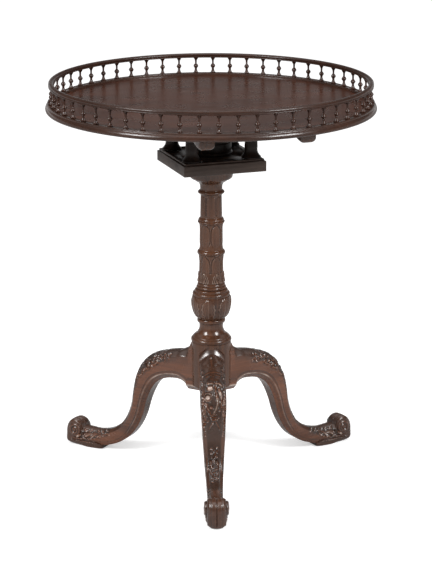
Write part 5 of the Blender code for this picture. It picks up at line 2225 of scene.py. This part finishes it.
@dataclass
class Studio:
    """Floor, lights, backdrop and camera."""

    eye: tuple[float, float, float] = (-1.2602, -3.5850, 1.431)
    tilt: float = math.radians(15.715)
    turn: float = math.radians(19.5)
    focal_pixels: float = 2139.8
    picture_height: float = 565.0
    lamp_spread: float = math.radians(52.0)
    lamp_height: float = math.radians(32.0)
    lamp_distance: float = 3.2
    lamp_power: float = 88.0
    lamp_width: float = 1.0
    lamp_rise: float = 0.75
    lamp_aim: float = 0.4
    sky_light: float = 0.38
    room_light: float = 0.1
    ceiling_light: float = 2.6
    ceiling_reach: Point = (0.3, 0.98)
    sweep_top: float = 0.2
    sweep_foot: float = 0.02
    white: Colour = (1.0, 1.0, 1.0)
    floor_size: float = 30.0
    floor_drop: float = 0.0005
    floor_roughness: float = 0.9
    floor_pale: Point = (0.80, 0.83)
    floor_shade: float = 0.6
    floor_glow: Point = (0.44, 0.70)
    glow_reach: Point = (0.4, 1.6)
    floor_gloss: float = 0.07

    def camera(self) -> None:
        """Make the camera of the photograph's view."""
        data = bpy.data.cameras.new("camera")
        data.sensor_fit = "VERTICAL"
        data.sensor_height = 36.0
        data.lens = 36.0 * self.focal_pixels / self.picture_height
        camera = bpy.data.objects.new("camera", data)
        camera.location = self.eye
        camera.rotation_euler = (math.pi / 2 - self.tilt, 0.0, -self.turn)
        bpy.context.scene.collection.objects.link(camera)
        bpy.context.scene.camera = camera

    def lamps(self) -> None:
        """Make the two soft lamps on either side of the camera."""
        middle = Vector((0.0, 0.0, self.lamp_aim))
        for name, side in (("left", -1), ("right", 1)):
            angle = -math.pi / 2 - self.turn + side * self.lamp_spread
            level = math.cos(self.lamp_height)
            way = Vector((math.cos(angle) * level, math.sin(angle) * level, math.sin(self.lamp_height)))
            data = bpy.data.lights.new(f"lamp_{name}", "AREA")
            data.shape = "RECTANGLE"
            data.size = self.lamp_width
            data.size_y = self.lamp_rise
            data.energy = self.lamp_power
            lamp = bpy.data.objects.new(f"lamp_{name}", data)
            lamp.location = middle + way * self.lamp_distance
            lamp.rotation_euler = way.to_track_quat("Z", "Y").to_euler()
            bpy.context.scene.collection.objects.link(lamp)

    def sky(self) -> None:
        """Make a white backdrop that lights the table softly."""
        world = bpy.data.worlds.new("white_sweep")
        world.use_nodes = True
        bpy.context.scene.world = world
        desk = Desk(world.node_tree)
        soft = world.node_tree.nodes["Background"]
        desk.feed(soft.inputs["Color"], self.white)
        desk.feed(soft.inputs["Strength"], self.sky_light)
        way = desk.tree.nodes.new("ShaderNodeTexCoord").outputs["Generated"]
        level = desk.add("ShaderNodeSeparateXYZ", Vector=way).outputs["Z"]
        overhead = desk.math("POWER", desk.spread(level, *self.ceiling_reach), 3.0)
        ceiling = desk.math("MULTIPLY", overhead, self.ceiling_light, False)
        room = desk.math("ADD", ceiling, self.room_light, False)
        sweep = desk.math("MAXIMUM", desk.spread(level, self.sweep_top, self.sweep_foot), room, False)
        camera_ray = desk.tree.nodes.new("ShaderNodeLightPath").outputs["Is Camera Ray"]
        strength = desk.mix(camera_ray, sweep, self.white)
        seen = desk.add("ShaderNodeBackground", Color=self.white, Strength=strength)
        mix = desk.tree.nodes.new("ShaderNodeMixShader")
        desk.feed(mix.inputs[0], self.seen_directly(desk))
        desk.feed(mix.inputs[1], soft.outputs[0])
        desk.feed(mix.inputs[2], seen.outputs[0])
        desk.feed(world.node_tree.nodes["World Output"].inputs["Surface"], mix.outputs[0])

    def seen_directly(self, desk: Desk) -> bpy.types.NodeSocket:
        """Mask of the rays that come from the camera, a gloss or a clear material.

        Args:
            desk: Desk of the tree.

        Returns:
            The mask.
        """
        path = desk.tree.nodes.new("ShaderNodeLightPath")
        gloss = desk.math("ADD", path.outputs["Is Glossy Ray"], path.outputs["Is Transmission Ray"])
        return desk.math("ADD", path.outputs["Is Camera Ray"], gloss)

    def floor(self) -> None:
        """Make the white floor, which keeps the table's shadow."""
        bm = bmesh.new()
        bmesh.ops.create_grid(bm, x_segments=1, y_segments=1, size=self.floor_size)
        bmesh.ops.translate(bm, verts=bm.verts, vec=(0, 0, -self.floor_drop))
        mesh = bpy.data.meshes.new("floor")
        bm.to_mesh(mesh)
        bm.free()
        material = bpy.data.materials.new("white_floor")
        material.use_nodes = True
        desk = Desk(material.node_tree)
        shader = material.node_tree.nodes["Principled BSDF"]
        place = desk.tree.nodes.new("ShaderNodeTexCoord").outputs["Object"]
        grain = desk.noise(place, 6.0, 3.0)
        away = desk.add("ShaderNodeVectorMath", Vector=place)
        away.operation = "LENGTH"
        near_glow, far_glow = self.floor_glow
        far = desk.spread(away.outputs["Value"], *self.glow_reach)
        level = desk.math("MULTIPLY_ADD", far, far_glow - near_glow, third=near_glow)
        path = desk.tree.nodes.new("ShaderNodeLightPath")
        pale = desk.mix(grain, (self.floor_pale[0],) * 3, (self.floor_pale[1],) * 3)
        shade = (self.floor_shade,) * 3
        desk.feed(shader.inputs["Base Color"], desk.mix(path.outputs["Is Camera Ray"], shade, pale))
        desk.feed(shader.inputs["Roughness"], self.floor_roughness)
        desk.feed(shader.inputs["Specular IOR Level"], 0.0)
        glow = desk.add("ShaderNodeEmission", Color=self.white)
        gloss = desk.math("ADD", path.outputs["Is Glossy Ray"], path.outputs["Is Transmission Ray"])
        glint = desk.math("MULTIPLY", gloss, self.floor_gloss)
        seen = desk.math("MULTIPLY", path.outputs["Is Camera Ray"], level)
        desk.feed(glow.inputs["Strength"], desk.math("ADD", seen, glint))
        both = desk.tree.nodes.new("ShaderNodeAddShader")
        desk.feed(both.inputs[0], shader.outputs[0])
        desk.feed(both.inputs[1], glow.outputs[0])
        desk.feed(material.node_tree.nodes["Material Output"].inputs["Surface"], both.outputs[0])
        mesh.materials.append(material)
        floor = bpy.data.objects.new("floor", mesh)
        bpy.context.scene.collection.objects.link(floor)

    def build(self) -> None:
        """Set up the view, the light and the floor."""
        bpy.context.scene.view_settings.view_transform = "Standard"
        self.camera()
        self.lamps()
        self.sky()
        self.floor()


def main() -> None:
    """Dress the table, piece by piece."""
    logging.basicConfig(level=logging.INFO, format="%(message)s")
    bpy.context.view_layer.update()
    Studio().build()
    finishes = Finishes()
    Pillar(finishes).dress()
    Legs(finishes).dress()
    Birdcage(finishes).dress()
    Top(finishes).dress()
    Fittings(finishes).dress()
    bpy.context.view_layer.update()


if __name__ == "__main__":
    main()
